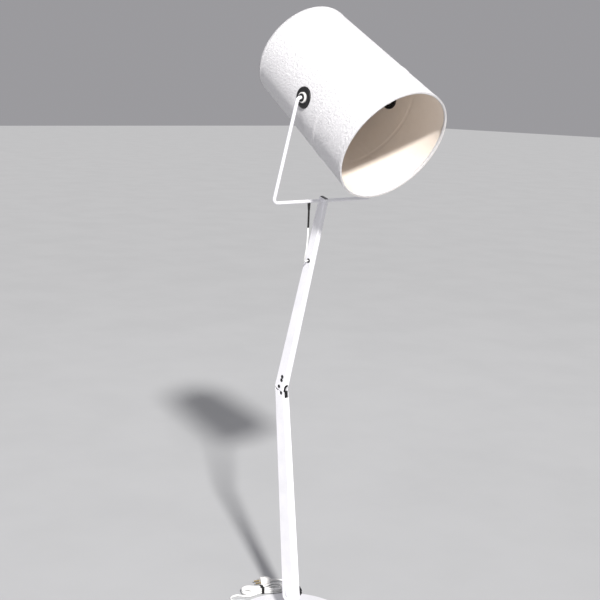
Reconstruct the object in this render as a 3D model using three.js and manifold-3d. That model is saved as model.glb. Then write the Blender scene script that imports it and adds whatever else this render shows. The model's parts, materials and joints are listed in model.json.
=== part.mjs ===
// Adjustable arm floor lamp: a round base, two tapered arms with a knee between them, a U-shaped
// fork and a large canvas shade that turns in the fork.
// Units are millimetres. +Z is up, +X is the way the shade points, and +Y lies along every hinge.
// The origin is the centre of the base's underside.
import * as THREE from "three";
import { mergeVertices } from "three/addons/utils/BufferGeometryUtils.js";
import Module from "manifold-3d";

const wasm = await Module();
wasm.setup();

// ---- Driving dimensions -----------------------------------------------------------------------

const GAP = 0.3; // between pieces that touch
const SIDES = 20; // round bosses, holes and pins

const BASE = { radius: 190, pad: 2, thickness: 9, edge: 1.5, boltRadius: 6, recess: 16 };
const FOOT = { height: 100, tongue: 10.3, tongueRadius: 20, cheek: 30, boltRadius: 6 };
const KNOB = { radius: 17.5, inner: 15, outer: 34, lobes: 8, lobeRadius: 3.4 };

// Arm tubes: width lies along X, depth along Y, and both taper upwards.
const LOWER = { length: 692.8, lean: -6.06, foot: [60, 28], knee: [45, 22.6], wall: 2.5 };
const UPPER = {
  length: 641.2, lean: 16.08, knee: [44.6, 22.6], head: [30, 16], wall: 2, screwHeight: 617.2,
};
const CORNER = 3.5; // outer corner radius of both tubes

const KNEE = {
  pin: 4.7, rivets: [25.5, 38], lowRivet: -21, rivetSide: 5, disc: 15, leafFront: 19.5,
  sweep: 28, slotTop: 15, slotFoot: -37,
};
const FORK = {
  reach: 319.8, lean: 17.28, half: 194, top: 190, rod: 5.2, bore: 3.8, end: 136, topBend: 10,
  footBend: 16,
};
const SHADE = { dip: 33, mouth: 235, back: -240, mouthRadius: 180, backRadius: 158.5, wall: 1.2 };
const EYELET = { outer: 31, inner: 15.6, barrel: 20 };
const BUSH = { radius: 15.2, hub: 9, shoulder: 151.3, face: 177, hubEnd: 142 };
const HOLDER = { seat: -19, radius: 20, height: 52, bulbLength: 80, bulbRadius: 22.5 };

const CORD = { radius: 3, hankRadius: 24, hankRun: 96, hankWaist: 12.5, hankHeight: 19, lift: 1.3 };
const HANK_CENTRE = new THREE.Vector2(-228, 60);
const HANK_TURN = 69; // direction of the hank's long axis from +X, in degrees
const TIE_HALF = 6; // half the length of the hank's straight waist
const PLUG = { side: 50, start: 74, relief: 26, body: 40, radius: 17, pin: 2.4, pinLength: 19 };

const rad = THREE.MathUtils.degToRad;

// ---- Finishes ---------------------------------------------------------------------------------

const FINISHES = {
  whitePaint: { color: "#eeedf2", roughness: 0.45, metalness: 0 },
  blackPaint: { color: "#161616", roughness: 0.5, metalness: 0 },
  steel: { color: "#b9bbbd", roughness: 0.35, metalness: 1 },
  brass: { color: "#c9a44f", roughness: 0.35, metalness: 1 },
  rubber: { color: "#1b1b1b", roughness: 0.85, metalness: 0 },
  whitePlastic: { color: "#ececea", roughness: 0.5, metalness: 0 },
  blackPlastic: { color: "#181818", roughness: 0.55, metalness: 0 },
  canvas: { color: "#f2f0ec", roughness: 0.9, metalness: 0 },
  opal: { color: "#fbf8f0", roughness: 0.3, metalness: 0 },
};

// ---- Solids -----------------------------------------------------------------------------------

// A closed geometry as a solid that can be joined and cut.
function solid(geometry) {
  const bare = geometry.clone();
  bare.deleteAttribute("normal");
  bare.deleteAttribute("uv");
  const merged = mergeVertices(bare, 1e-4);
  const mesh = new wasm.Mesh({
    numProp: 3,
    vertProperties: new Float32Array(merged.attributes.position.array),
    triVerts: new Uint32Array(merged.index.array),
  });
  return new wasm.Manifold(mesh);
}

// A solid back as a geometry with flat shading.
function geometryOf(body) {
  const mesh = body.getMesh();
  const geometry = new THREE.BufferGeometry();
  geometry.setAttribute("position", new THREE.BufferAttribute(mesh.vertProperties, 3));
  geometry.setIndex(new THREE.BufferAttribute(mesh.triVerts, 1));
  const flat = geometry.toNonIndexed();
  flat.computeVertexNormals();
  return flat;
}

// The first geometry joined with the others.
function join(first, ...others) {
  return geometryOf(others.reduce((sum, g) => sum.add(solid(g)), solid(first)));
}

// The first geometry with the others cut away.
function cut(first, ...others) {
  return geometryOf(others.reduce((sum, g) => sum.subtract(solid(g)), solid(first)));
}

// What the two geometries share.
function common(first, second) {
  return geometryOf(solid(first).intersect(solid(second)));
}

// The largest of a geometry's separate bodies.
function largest(geometry) {
  const bodies = solid(geometry).decompose();
  return geometryOf(bodies.reduce((best, body) => (body.volume() > best.volume() ? body : best)));
}

function box(x0, x1, y0, y1, z0, z1) {
  const geometry = new THREE.BoxGeometry(x1 - x0, y1 - y0, z1 - z0);
  return geometry.translate((x0 + x1) / 2, (y0 + y1) / 2, (z0 + z1) / 2);
}

// A cylinder along Y from y0 to y1, through (x, z).
function pinY(radius, y0, y1, x = 0, z = 0, sides = SIDES) {
  return new THREE.CylinderGeometry(radius, radius, y1 - y0, sides).translate(x, (y0 + y1) / 2, z);
}

// A cylinder along X from x0 to x1, through (y, z).
function pinX(radius, x0, x1, y = 0, z = 0, sides = SIDES) {
  const geometry = new THREE.CylinderGeometry(radius, radius, x1 - x0, sides).rotateZ(Math.PI / 2);
  return geometry.translate((x0 + x1) / 2, y, z);
}

// A cylinder along Z from z0 to z1, through (x, y).
function pinZ(radius, z0, z1, x = 0, y = 0, sides = SIDES) {
  const geometry = new THREE.CylinderGeometry(radius, radius, z1 - z0, sides).rotateX(Math.PI / 2);
  return geometry.translate(x, y, (z0 + z1) / 2);
}

// A ring along Y: its outside has radius outer and its hole radius inner.
function ringY(outer, inner, y0, y1, sides = SIDES) {
  return cut(pinY(outer, y0, y1, 0, 0, sides), pinY(inner, y0 - 1, y1 + 1, 0, 0, sides));
}

// An outline in X and Z, extruded along Y from y0 to y1.
function plateY(outline, y0, y1) {
  const shape = new THREE.Shape(outline.map(([x, z]) => new THREE.Vector2(x, z)));
  const geometry = new THREE.ExtrudeGeometry(shape, { depth: y1 - y0, bevelEnabled: false });
  return geometry.rotateX(Math.PI / 2).translate(0, y1, 0);
}

// A profile of (radius, height) points turned about Z, listed anticlockwise.
function turned(profile, segments = 32) {
  const points = profile.map(([r, z]) => new THREE.Vector2(r, z));
  return new THREE.LatheGeometry(points, segments).rotateX(Math.PI / 2);
}

// Points on an arc about (cx, cz), with angles in degrees.
function arc(cx, cz, rx, rz, from, to, steps) {
  return Array.from({ length: steps + 1 }, (_, i) => {
    const angle = rad(from + ((to - from) * i) / steps);
    return [cx + rx * Math.cos(angle), cz + rz * Math.sin(angle)];
  });
}

// The rounded rectangle of a tube's section at height z.
function sectionRing(width, depth, corner, z) {
  const ring = [];
  const corners = [[1, 1, 0], [-1, 1, 90], [-1, -1, 180], [1, -1, 270]];
  for (const [sx, sy, start] of corners) {
    const cx = sx * (width / 2 - corner);
    const cy = sy * (depth / 2 - corner);
    arc(cx, cy, corner, corner, start, start + 90, 4).forEach(([x, y]) => ring.push([x, y, z]));
  }
  return ring;
}

// A straight solid between two rings with the same number of points.
function loft(lower, upper) {
  const count = lower.length;
  const positions = [...lower, ...upper].flat();
  const index = [];
  for (let i = 0; i < count; i += 1) {
    const next = (i + 1) % count;
    index.push(i, next, count + next, i, count + next, count + i);
  }
  for (let i = 1; i < count - 1; i += 1) {
    index.push(0, i + 1, i, count, count + i, count + i + 1);
  }
  const geometry = new THREE.BufferGeometry();
  geometry.setAttribute("position", new THREE.Float32BufferAttribute(positions, 3));
  geometry.setIndex(index);
  return geometry.toNonIndexed();
}

// A tapered tube along Z from z0 to z1, open at both ends. At z = 0 its section is the first size
// and at z = length the second.
function taperedTube(length, first, second, wall, z0, z1) {
  const size = (axis, z, less) => first[axis] + ((second[axis] - first[axis]) * z) / length - less;
  const body = (less, from, to) => loft(
    sectionRing(size(0, from, less), size(1, from, less), CORNER - less / 2 + 0.2, from),
    sectionRing(size(0, to, less), size(1, to, less), CORNER - less / 2 + 0.2, to),
  );
  return cut(body(0, z0, z1), body(2 * wall, z0 - 1, z1 + 1));
}

// A wire's centre line: straight runs between corners, with an even bend at each inner corner.
// Its stations lie only where the line bends and at its two ends.
class BentWire extends THREE.Curve {
  constructor(corners, bendRadii, steps = 6) {
    super();
    this.stations = [];
    const last = corners.length - 1;
    corners.forEach((corner, i) => {
      if (i === 0 || i === last) {
        const other = corners[i === 0 ? 1 : last - 1];
        const along = i === 0 ? other.clone().sub(corner) : corner.clone().sub(other);
        this.stations.push([corner.clone(), along.normalize()]);
        return;
      }
      const before = corner.clone().sub(corners[i - 1]).normalize();
      const after = corners[i + 1].clone().sub(corner).normalize();
      const turn = before.angleTo(after);
      const radius = bendRadii[i - 1];
      const start = corner.clone().addScaledVector(before, -radius * Math.tan(turn / 2));
      const inward = after.clone().addScaledVector(before, -before.dot(after)).normalize();
      const centre = start.clone().addScaledVector(inward, radius);
      for (let k = 0; k <= steps; k += 1) {
        const angle = (turn * k) / steps;
        const point = centre.clone().addScaledVector(inward, -radius * Math.cos(angle));
        point.addScaledVector(before, radius * Math.sin(angle));
        const along = before.clone().multiplyScalar(Math.cos(angle));
        this.stations.push([point, along.addScaledVector(inward, Math.sin(angle))]);
      }
    });
  }

  station(t) {
    return this.stations[Math.round(t * (this.stations.length - 1))];
  }

  getPoint(t) {
    return this.station(t)[0].clone();
  }

  getPointAt(t) {
    return this.getPoint(t);
  }

  getTangent(t) {
    return this.station(t)[1].clone();
  }

  getTangentAt(t) {
    return this.getTangent(t);
  }
}

// A circle as a shape with straight sides.
function roundShape(radius, sides) {
  const corners = arc(0, 0, radius, radius, 0, 360, sides).slice(0, -1);
  return new THREE.Shape(corners.map(([x, y]) => new THREE.Vector2(x, y)));
}

// A round section along a path.
function rod(path, radius, sides, steps, bore = 0) {
  const shape = roundShape(radius, sides);
  if (bore > 0) {
    shape.holes.push(roundShape(bore, 6));
  }
  return new THREE.ExtrudeGeometry(shape, { steps, extrudePath: path, bevelEnabled: false });
}

// A smooth tube through points given as [x, y, z].
function flex(points, radius, sides, steps) {
  const path = new THREE.CatmullRomCurve3(points.map((p) => new THREE.Vector3(...p)), false, "centripetal");
  return rod(path, radius, sides, steps);
}

// ---- Placing ----------------------------------------------------------------------------------

function piece(parent, name, geometry, finish) {
  const mesh = new THREE.Mesh(geometry, new THREE.MeshStandardMaterial(FINISHES[finish]));
  mesh.name = name;
  parent.add(mesh);
  return mesh;
}

// A group turned about Y, leaning forwards by an angle in degrees.
function leaning(parent, x, z, lean) {
  const group = new THREE.Group();
  group.position.set(x, 0, z);
  group.rotation.y = rad(lean);
  parent.add(group);
  return group;
}

// ---- Base -------------------------------------------------------------------------------------

const PLATE_FOOT = BASE.pad + GAP;
const PLATE_TOP = PLATE_FOOT + BASE.thickness;
const POST_FOOT = PLATE_TOP + GAP;
const GLAND = { height: 27, seat: 18, length: 32 };

function basePlate() {
  const { radius, edge, recess, boltRadius } = BASE;
  const recessTop = PLATE_FOOT + 6.3;
  const hole = boltRadius + GAP;
  return turned([
    [recess, PLATE_FOOT],
    [radius - edge, PLATE_FOOT],
    [radius, PLATE_FOOT + edge],
    [radius, PLATE_TOP - edge],
    [radius - edge, PLATE_TOP],
    [hole, PLATE_TOP],
    [hole, recessTop],
    [recess, recessTop],
    [recess, PLATE_FOOT],
  ], 52);
}

// The upright post: a round flange on the plate and a flat tongue that the lower arm straddles.
function basePost() {
  const { height, tongue, tongueRadius, boltRadius } = FOOT;
  const flange = turned([
    [0, POST_FOOT],
    [42, POST_FOOT],
    [42, POST_FOOT + 4.5],
    [40.5, POST_FOOT + 6],
    [0, POST_FOOT + 6],
  ], 40);
  const upright = plateY([
    [-24, POST_FOOT + 1],
    [24, POST_FOOT + 1],
    ...arc(31, 45, 17, 27, 220, 180, 5),
    ...arc(0, height, tongueRadius, tongueRadius, -35, 215, 20),
    ...arc(-31, 45, 17, 27, 0, -40, 5),
  ], -tongue, tongue);
  const glandBore = pinX(5.2, -GLAND.seat - 8, -4, 0, GLAND.height);
  return cut(
    join(flange, upright),
    pinY(boltRadius + GAP, -tongue - 1, tongue + 1, 0, height),
    pinZ(BASE.boltRadius + GAP, POST_FOOT - 1, 41),
    glandBore,
    box(-40, -GLAND.seat, -tongue - 1, tongue + 1, GLAND.height - 7, GLAND.height + 7),
  );
}

function baseBolt() {
  const head = pinZ(10, PLATE_FOOT + 0.4, PLATE_FOOT + 6, 0, 0, 6);
  return join(head, pinZ(BASE.boltRadius, PLATE_FOOT + 5, 40));
}

// The strain relief of the mains cord: a tapered boot that points backwards from the post.
function mainsGland() {
  const start = GLAND.seat + GAP;
  const boot = turned([
    [CORD.radius + GAP, -8],
    [4.9, -8],
    [4.9, 0],
    [7, 0],
    [7, 3],
    [5.6, 4],
    [4.2, GLAND.length],
    [CORD.radius + GAP, GLAND.length],
    [CORD.radius + GAP, -8],
  ], 16);
  return boot.rotateY(-Math.PI / 2).translate(-start, 0, GLAND.height);
}

function buildBase(parent) {
  piece(parent, "base_pad", pinZ(BASE.radius - 6, 0, BASE.pad, 0, 0, 60), "rubber");
  piece(parent, "base_plate", basePlate(), "whitePaint");
  piece(parent, "base_post", basePost(), "whitePaint");
  piece(parent, "base_bolt", baseBolt(), "steel");
  piece(parent, "mains_gland", mainsGland(), "whitePlastic");
}

// ---- Foot joint and lower arm -----------------------------------------------------------------

const KNEE_INNER = 9.3; // half the clear depth inside both tubes at the knee
const LINER_FACE = 8.6; // from the middle to the outer face of each liner
const LEAF_HALF = 7.1; // half the depth of the black hinge leaves
const KNUCKLE_HALF = 3.4; // half the depth of the lower leaf's single knuckle

// The lower end of the upper arm seen from the side, behind the pin.
function kneeHeel(width, drop) {
  return arc(0, 0, width, drop, 180, 270, 10);
}

function lowerArmTube() {
  const { length, foot, knee, wall } = LOWER;
  const tube = taperedTube(length, foot, knee, wall, -FOOT.cheek - 1, length + 10);
  const footOutline = plateY([
    [45, length + 60],
    [-45, length + 60],
    [-45, 0],
    ...arc(0, 0, FOOT.cheek, FOOT.cheek, 180, 360, 24),
    [45, 0],
  ], -30, 30);
  const clear = foot[1] / 2 - wall;
  const heel = kneeHeel(25.2, 14.2).map(([x, z]) => [x, z + length]);
  const aboveHeel = plateY([...heel, [0.5, length], [40, length], [40, length + 30],
    [-40, length + 30], [-40, length]], -20, 20);
  const sweep = plateY([
    [-3, length + 1],
    [-5.9, length - 11.2],
    [-5.9, length - 11.9],
    [-3, length - 16.2],
    ...arc(0, length, KNEE.sweep, KNEE.sweep, -96.2, 0, 18),
    [KNEE.sweep, length + 1],
  ], -20, 20);
  return cut(
    common(tube, footOutline),
    box(-50, 50, -clear + 0.2, clear - 0.2, -60, -6),
    pinY(FOOT.boltRadius + GAP, -30, 30),
    aboveHeel,
    sweep,
    box(15, 40, -KNEE_INNER + 0.6, KNEE_INNER - 0.6, length + KNEE.slotFoot, length + 5),
  );
}

// A thin cheek inside the lower arm's end, which closes the front of the knee behind the tubes.
function kneeLiner(y0, y1) {
  const { length } = LOWER;
  const outline = [
    [-6, -46],
    [17, -46],
    [17, -3],
    ...arc(0, 0, 13.6, 13.6, -12, 90, 8),
    ...arc(0, 0, 9, 13.6, 90, 180, 8).slice(1),
    [-9, -8],
    [-6, -14],
  ].map(([x, z]) => [x, z + length]);
  return cut(
    plateY(outline, y0, y1),
    pinY(KNEE.pin + GAP, y0 - 1, y1 + 1, 0, length),
    pinY(KNEE.pin + GAP, y0 - 1, y1 + 1, KNEE.rivetSide, length + KNEE.lowRivet),
  );
}

function lowerLeaf() {
  const { length } = LOWER;
  const body = join(
    pinY(KNEE.disc, -KNUCKLE_HALF, KNUCKLE_HALF, 0, length, 32),
    box(-14, 14, -KNUCKLE_HALF, KNUCKLE_HALF, length - 40, length),
    box(-18, KNEE.leafFront, -LEAF_HALF, LEAF_HALF, length - 56, length - KNEE.disc - 0.5),
  );
  return cut(
    body,
    pinY(KNEE.pin + GAP, -10, 10, 0, length),
    pinY(KNEE.pin + GAP, -10, 10, KNEE.rivetSide, length + KNEE.lowRivet),
    pinZ(3.6, length - 60, length - 38, -12, 0),
  );
}

function footBolt() {
  const outside = LOWER.foot[1] / 2 + GAP;
  const head = turned([
    [0, 0],
    [9, 0],
    [9, 1.6],
    [7, 3.2],
    [0, 3.8],
  ], 24).rotateX(Math.PI / 2).translate(0, -outside, 0);
  return join(head, pinY(FOOT.boltRadius, -outside - 0.5, KNOB.outer - 6));
}

// A round hand knob with grip flutes round its rim.
function footKnob() {
  const { radius, inner, outer, lobes, lobeRadius } = KNOB;
  const body = turned([
    [0, inner],
    [9, inner],
    [11, inner + 4],
    [radius, inner + 6],
    [radius, outer - 2.5],
    [radius - 2.5, outer],
    [0, outer],
  ], 32).rotateX(-Math.PI / 2);
  const flutes = Array.from({ length: lobes }, (_, i) => {
    const angle = (2 * Math.PI * i) / lobes;
    const reach = radius + lobeRadius * 0.45;
    return pinY(lobeRadius, inner - 1, outer + 1, reach * Math.cos(angle), reach * Math.sin(angle), 8);
  });
  return cut(body, pinY(FOOT.boltRadius + GAP, inner - 1, outer - 6 + GAP), ...flutes);
}

function buildLowerArm(parent) {
  const { length } = LOWER;
  const washerInner = FOOT.tongue + GAP;
  const washerOuter = LOWER.foot[1] / 2 - LOWER.wall - GAP;
  piece(parent, "lower_arm_tube", lowerArmTube(), "whitePaint");
  piece(parent, "foot_bolt", footBolt(), "whitePaint");
  piece(parent, "foot_knob", footKnob(), "blackPlastic");
  const hole = FOOT.boltRadius + GAP;
  piece(parent, "foot_washer_near", ringY(15, hole, -washerOuter, -washerInner), "rubber");
  piece(parent, "foot_washer_far", ringY(15, hole, washerInner, washerOuter), "rubber");
  piece(parent, "knee_lower_leaf", lowerLeaf(), "blackPaint");
  piece(parent, "knee_liner_near", kneeLiner(-LINER_FACE, -LEAF_HALF - GAP), "whitePaint");
  piece(parent, "knee_liner_far", kneeLiner(LEAF_HALF + GAP, LINER_FACE), "whitePaint");
  const rivetZ = length + KNEE.lowRivet;
  const rivet = pinY(KNEE.pin, -LINER_FACE, LINER_FACE, KNEE.rivetSide, rivetZ);
  piece(parent, "knee_rivet_lower", rivet, "blackPaint");
  piece(parent, "lower_arm_lead", pinZ(CORD.radius, 45, length - 58, -12, 0, 8), "whitePlastic");
}

// ---- Knee and upper arm -----------------------------------------------------------------------

const LEAD_ENTRY = { x: 3, z: 445.2 }; // where the link lead goes in through the near side

// The upper arm's outside width (axis 0) or depth (axis 1) at height z.
function upperSizeAt(axis, z) {
  return UPPER.knee[axis] + ((UPPER.head[axis] - UPPER.knee[axis]) * z) / UPPER.length;
}

const GROMMET = { bore: 3.2, neck: 5, flange: 7 };

// The lead between the fork and the upper arm. It hangs down from the fork's bar and goes in
// through the near side of the arm. These points are in the upper arm's frame.
const LINK = { radius: 2.7, side: -57, bootEnd: 28 };
const LINK_SLEEVE_POINTS = [
  [7.9, -57, 613.8],
  [12.3, -57, 597.8],
  [16.8, -56.8, 580.5],
  [20.6, -56.6, 564.6],
];
const LINK_LEAD_POINTS = [
  [20.8, -56.6, 564.2],
  [24.3, -56.2, 547.8],
  [27.2, -55.6, 531.1],
  [29.3, -54.7, 514.6],
  [29.8, -53.3, 497.6],
  [28.6, -51.3, 481.5],
  [25.1, -47.7, 464.7],
  [18, -40.9, 450.8],
  [8, -29, 445.1],
  [3.9, -19.5, 445.1],
  [3, -13.2, 445.2],
  [3, -5.9, 445.2],
];

function upperArmTube() {
  const { length, knee, head, wall, screwHeight } = UPPER;
  const tube = taperedTube(length, knee, head, wall, -14, length + 9);
  const belowHeel = plateY([[-40, 0], ...kneeHeel(22.6, 11), [22.4, -9], [40, -9],
    [40, -30], [-40, -30]], -20, 20);
  const rivetHoles = KNEE.rivets.map((z) => pinY(KNEE.pin + GAP, -20, 20, KNEE.rivetSide, z));
  return cut(
    tube,
    belowHeel,
    box(15, 40, -KNEE_INNER + 0.6, KNEE_INNER - 0.6, -20, KNEE.slotTop - 8.7),
    pinX(KNEE_INNER - 0.6, 15, 40, 0, KNEE.slotTop - 8.7, 28),
    pinY(KNEE.pin + GAP, -20, 20),
    ...rivetHoles,
    pinY(FORK.rod + GAP, -20, 20, 0, length, 28),
    pinY(GROMMET.neck + GAP, -20, 0, LEAD_ENTRY.x, LEAD_ENTRY.z),
    pinX(3.2, -40, 0, 0, screwHeight),
  );
}

function upperLeaf() {
  const cheek = (y0, y1) => [
    pinY(KNEE.disc, y0, y1, 0, 0, 32),
    box(-14.5, 14.5, y0, y1, 0, 52),
    box(0, KNEE.leafFront, y0, y1, 5, 52),
  ];
  const outer = KNUCKLE_HALF + GAP;
  const body = join(
    box(-18, KNEE.leafFront, -LEAF_HALF, LEAF_HALF, KNEE.disc + 1.5, 52),
    ...cheek(-LEAF_HALF, -outer),
    ...cheek(outer, LEAF_HALF),
  );
  const holes = [[0, 0], ...KNEE.rivets.map((z) => [KNEE.rivetSide, z])].map(
    ([x, z]) => pinY(KNEE.pin + GAP, -10, 10, x, z),
  );
  return cut(body, ...holes, pinZ(3.6, 44, 60, -12, 0));
}

// The friction block that grips the fork's bar inside the head of the upper arm.
function headClamp() {
  const { length, head, wall, screwHeight } = UPPER;
  const halfWidth = head[0] / 2 - wall - 0.9;
  const halfDepth = head[1] / 2 - wall - 0.8;
  return cut(
    box(-halfWidth, halfWidth, -halfDepth, halfDepth, length - 40, length + 10.5),
    pinY(FORK.rod + GAP, -20, 20, 0, length, 28),
    box(-1, 1, -20, 20, length - 34, length),
    pinX(2.8, -30, 4, 0, screwHeight),
  );
}

function headScrew() {
  const { screwHeight } = UPPER;
  const outside = upperSizeAt(0, screwHeight) / 2 + 0.5;
  const head = turned([[0, 0], [4.6, 0], [4.6, 1.6], [2.8, 3], [0, 3]], 20);
  head.rotateY(-Math.PI / 2).translate(-outside, 0, screwHeight);
  return join(head, pinX(2.5, -outside - 0.5, 3, 0, screwHeight));
}

function leadGrommet() {
  const outside = upperSizeAt(1, LEAD_ENTRY.z) / 2 + GAP;
  const inside = -UPPER.wall - 2 * GAP - 1.2;
  const { bore, neck, flange } = GROMMET;
  const profile = [
    [bore, inside],
    [neck, inside],
    [neck, 0],
    [flange, 0],
    [flange - 0.6, 1.8],
    [bore, 2.4],
    [bore, inside],
  ];
  return turned(profile, 16).rotateX(Math.PI / 2).translate(LEAD_ENTRY.x, -outside, LEAD_ENTRY.z);
}

function buildUpperArm(parent) {
  piece(parent, "upper_arm_tube", upperArmTube(), "whitePaint");
  piece(parent, "knee_upper_leaf", upperLeaf(), "blackPaint");
  const half = UPPER.knee[1] / 2 - 0.1;
  piece(parent, "knee_pin", pinY(KNEE.pin, -half, half), "blackPaint");
  KNEE.rivets.forEach((z, i) => {
    const end = half - 0.3 * (i + 1);
    piece(parent, `knee_rivet_upper_${i + 1}`, pinY(KNEE.pin, -end, end, KNEE.rivetSide, z), "blackPaint");
  });
  const innerLead = pinZ(CORD.radius, 54, LEAD_ENTRY.z - 12, -12, 0, 8);
  piece(parent, "upper_arm_lead", innerLead, "whitePlastic");
  piece(parent, "head_clamp", headClamp(), "blackPlastic");
  piece(parent, "head_screw", headScrew(), "blackPaint");
  piece(parent, "lead_grommet", leadGrommet(), "rubber");
  piece(parent, "link_sleeve", flex(LINK_SLEEVE_POINTS, LINK.radius, 8, 8), "rubber");
  piece(parent, "link_lead", flex(LINK_LEAD_POINTS, LINK.radius, 8, 22), "whitePlastic");
}

// ---- Fork -------------------------------------------------------------------------------------

function forkRod() {
  const { reach, half, top, rod: radius, bore, end, topBend, footBend } = FORK;
  const corners = [
    [-end, reach], [-top, reach], [-half, 0], [half, 0], [top, reach], [end, reach],
  ].map(([y, z]) => new THREE.Vector3(0, y, z));
  const wire = new BentWire(corners, [topBend, footBend, footBend, topBend]);
  const tube = rod(wire, radius, 16, wire.stations.length - 1, bore);
  return cut(tube, hangingAtSide(pinZ(3.3, -12, 0, 0, 0, 12)));
}

// Turns a piece that points down the fork so that it hangs straight down where the lead leaves.
function hangingAtSide(geometry) {
  return geometry.rotateY(rad(-FORK.lean)).translate(0, LINK.side, 0);
}

function forkBoot() {
  const end = LINK.bootEnd;
  const profile = [
    [0, 3],
    [3, 3],
    [3, 5.5],
    [4.6, 5.7],
    [4.2, 9],
    [2.9, end],
    [0, end],
  ];
  return hangingAtSide(turned(profile, 14).rotateX(Math.PI));
}

function buildFork(parent) {
  const hole = FORK.rod + GAP;
  piece(parent, "fork_rod", forkRod(), "whitePaint");
  piece(parent, "fork_boot", forkBoot(), "rubber");
  for (const [side, sign] of [["near", -1], ["far", 1]]) {
    const washer = ringY(11, hole, BUSH.face + GAP, FORK.top - FORK.topBend - GAP);
    const nut = cut(pinY(10, FORK.end + 0.5, BUSH.hubEnd - GAP, 0, 0, 6), pinY(hole, 100, 200));
    const turn = sign < 0 ? Math.PI : 0;
    const washerPiece = piece(parent, `pivot_washer_${side}`, washer, "blackPlastic");
    const nutPiece = piece(parent, `fork_nut_${side}`, nut, "steel");
    for (const mesh of [washerPiece, nutPiece]) {
      mesh.rotation.z = turn;
      mesh.position.z = FORK.reach;
    }
  }
}

// ---- Shade ------------------------------------------------------------------------------------
// In the shade's own frame Z runs along its axis towards the mouth, and Y is the pivot axis.

function shadeRadiusAt(z) {
  const { mouth, back, mouthRadius, backRadius } = SHADE;
  return backRadius + ((z - back) * (mouthRadius - backRadius)) / (mouth - back);
}

// The cone inside a surface that stands off the shade's outer face, between two heights.
function shadeCone(standOff, z0, z1, segments = 72) {
  return turned([
    [0, z0],
    [shadeRadiusAt(z0) + standOff, z0],
    [shadeRadiusAt(z1) + standOff, z1],
    [0, z1],
  ], segments);
}

function shadeSkin() {
  const { mouth, back, wall } = SHADE;
  const shell = cut(shadeCone(0, back, mouth), shadeCone(-wall, back - 1, mouth + 1));
  return cut(shell, pinY(EYELET.barrel + GAP, -250, 250, 0, 0, 32));
}

// A wire hoop sewn inside the skin near a height.
function shadeHoop(z) {
  const radius = shadeRadiusAt(z) - SHADE.wall - GAP - 2;
  return new THREE.TorusGeometry(radius - 0.2, 2, 6, 48).translate(0, 0, z);
}

// The stiff disc that closes the back, with a round vent.
function shadeBackPanel() {
  const radius = shadeRadiusAt(SHADE.back + 12) - SHADE.wall - 1.2;
  const z0 = SHADE.back + 9;
  return turned([[46, z0], [radius, z0], [radius, z0 + 2], [46, z0 + 2], [46, z0]], 56);
}

function eyeletOuter() {
  const { outer, inner, barrel } = EYELET;
  const flange = join(pinY(outer, 164, 174, 0, 0, 32), pinY(outer - 2, 173, 175.4, 0, 0, 32));
  const shaped = cut(flange, shadeCone(GAP, -60, 60));
  return cut(join(shaped, pinY(barrel, 157, 172, 0, 0, 28)), pinY(inner, 100, 200, 0, 0, 28));
}

function eyeletInner() {
  const { outer, barrel } = EYELET;
  const ring = cut(pinY(outer - 2, 160, 172, 0, 0, 32), pinY(barrel + GAP, 100, 200, 0, 0, 32));
  return common(ring, shadeCone(-SHADE.wall - GAP, -60, 60));
}

function pivotBush() {
  const { radius, hub, shoulder, face, hubEnd } = BUSH;
  const profile = [
    [FORK.rod + GAP, hubEnd],
    [hub, hubEnd],
    [hub, shoulder],
    [radius, shoulder],
    [radius, face - 1],
    [radius - 1, face],
    [FORK.rod + GAP, face],
    [FORK.rod + GAP, hubEnd],
  ];
  return turned(profile, 24).rotateX(-Math.PI / 2);
}

const STRIP = { half: 9, thick: 2.5, back: 22, tabOut: 150.9, tabIn: 148.4 };

// The steel strip across the shade: its two ends turn forwards and hold the bushes.
function crossBracket() {
  const { half, thick, back, tabOut, tabIn } = STRIP;
  const tab = (sign) => {
    const y0 = sign > 0 ? tabIn : -tabOut;
    return [
      box(-half - 4, half + 4, y0, y0 + tabOut - tabIn, -back - thick, 0),
      pinY(half + 4, y0, y0 + tabOut - tabIn, 0, 0, 28),
    ];
  };
  const body = join(
    box(-half, half, -tabOut, tabOut, -back - thick, -back),
    ...tab(1),
    ...tab(-1),
  );
  const screwHoles = [-12, 12].map((y) => pinZ(2.3, -back - 10, -back + 5, 0, y));
  const leadSlot = box(-4, 4, -90, -54, -back - 9, -back + 5);
  const leadHole = pinZ(5, -back - 9, -back + 5);
  return cut(body, pinY(BUSH.hub + GAP, -200, 200), leadSlot, leadHole, ...screwHoles);
}

function bushNut() {
  const { hub, hubEnd } = BUSH;
  return cut(pinY(14.5, hubEnd + 1.6, STRIP.tabIn - GAP, 0, 0, 6), pinY(hub + GAP, 100, 200));
}

// The lampholder: a round body on the strip, open towards the mouth, with a bore for the switch.
function lampholder() {
  const { seat, radius, height } = HOLDER;
  const z0 = seat - 2.7;
  const top = z0 + height;
  const body = turned([
    [0, z0],
    [17, z0],
    [18.5, z0 + 16],
    [radius, z0 + 18],
    [radius, top - 3],
    [radius - 2, top],
    [15, top],
    [15, z0 + 20],
    [0, z0 + 20],
  ], 28);
  return cut(
    body,
    pinX(3.6, -30, 30, 0, SWITCH.height),
    ...[-12, 12].map((y) => pinZ(1.9, z0 - 1, z0 + 10, 0, y, 12)),
  );
}

const SWITCH = { height: -13, out: 30, back: 22.5, radius: 3.2 };

function switchPush() {
  return join(
    pinX(SWITCH.radius, -SWITCH.back, SWITCH.out - 2, 0, SWITCH.height),
    pinX(SWITCH.radius - 0.8, SWITCH.out - 3, SWITCH.out, 0, SWITCH.height),
  );
}

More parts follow.
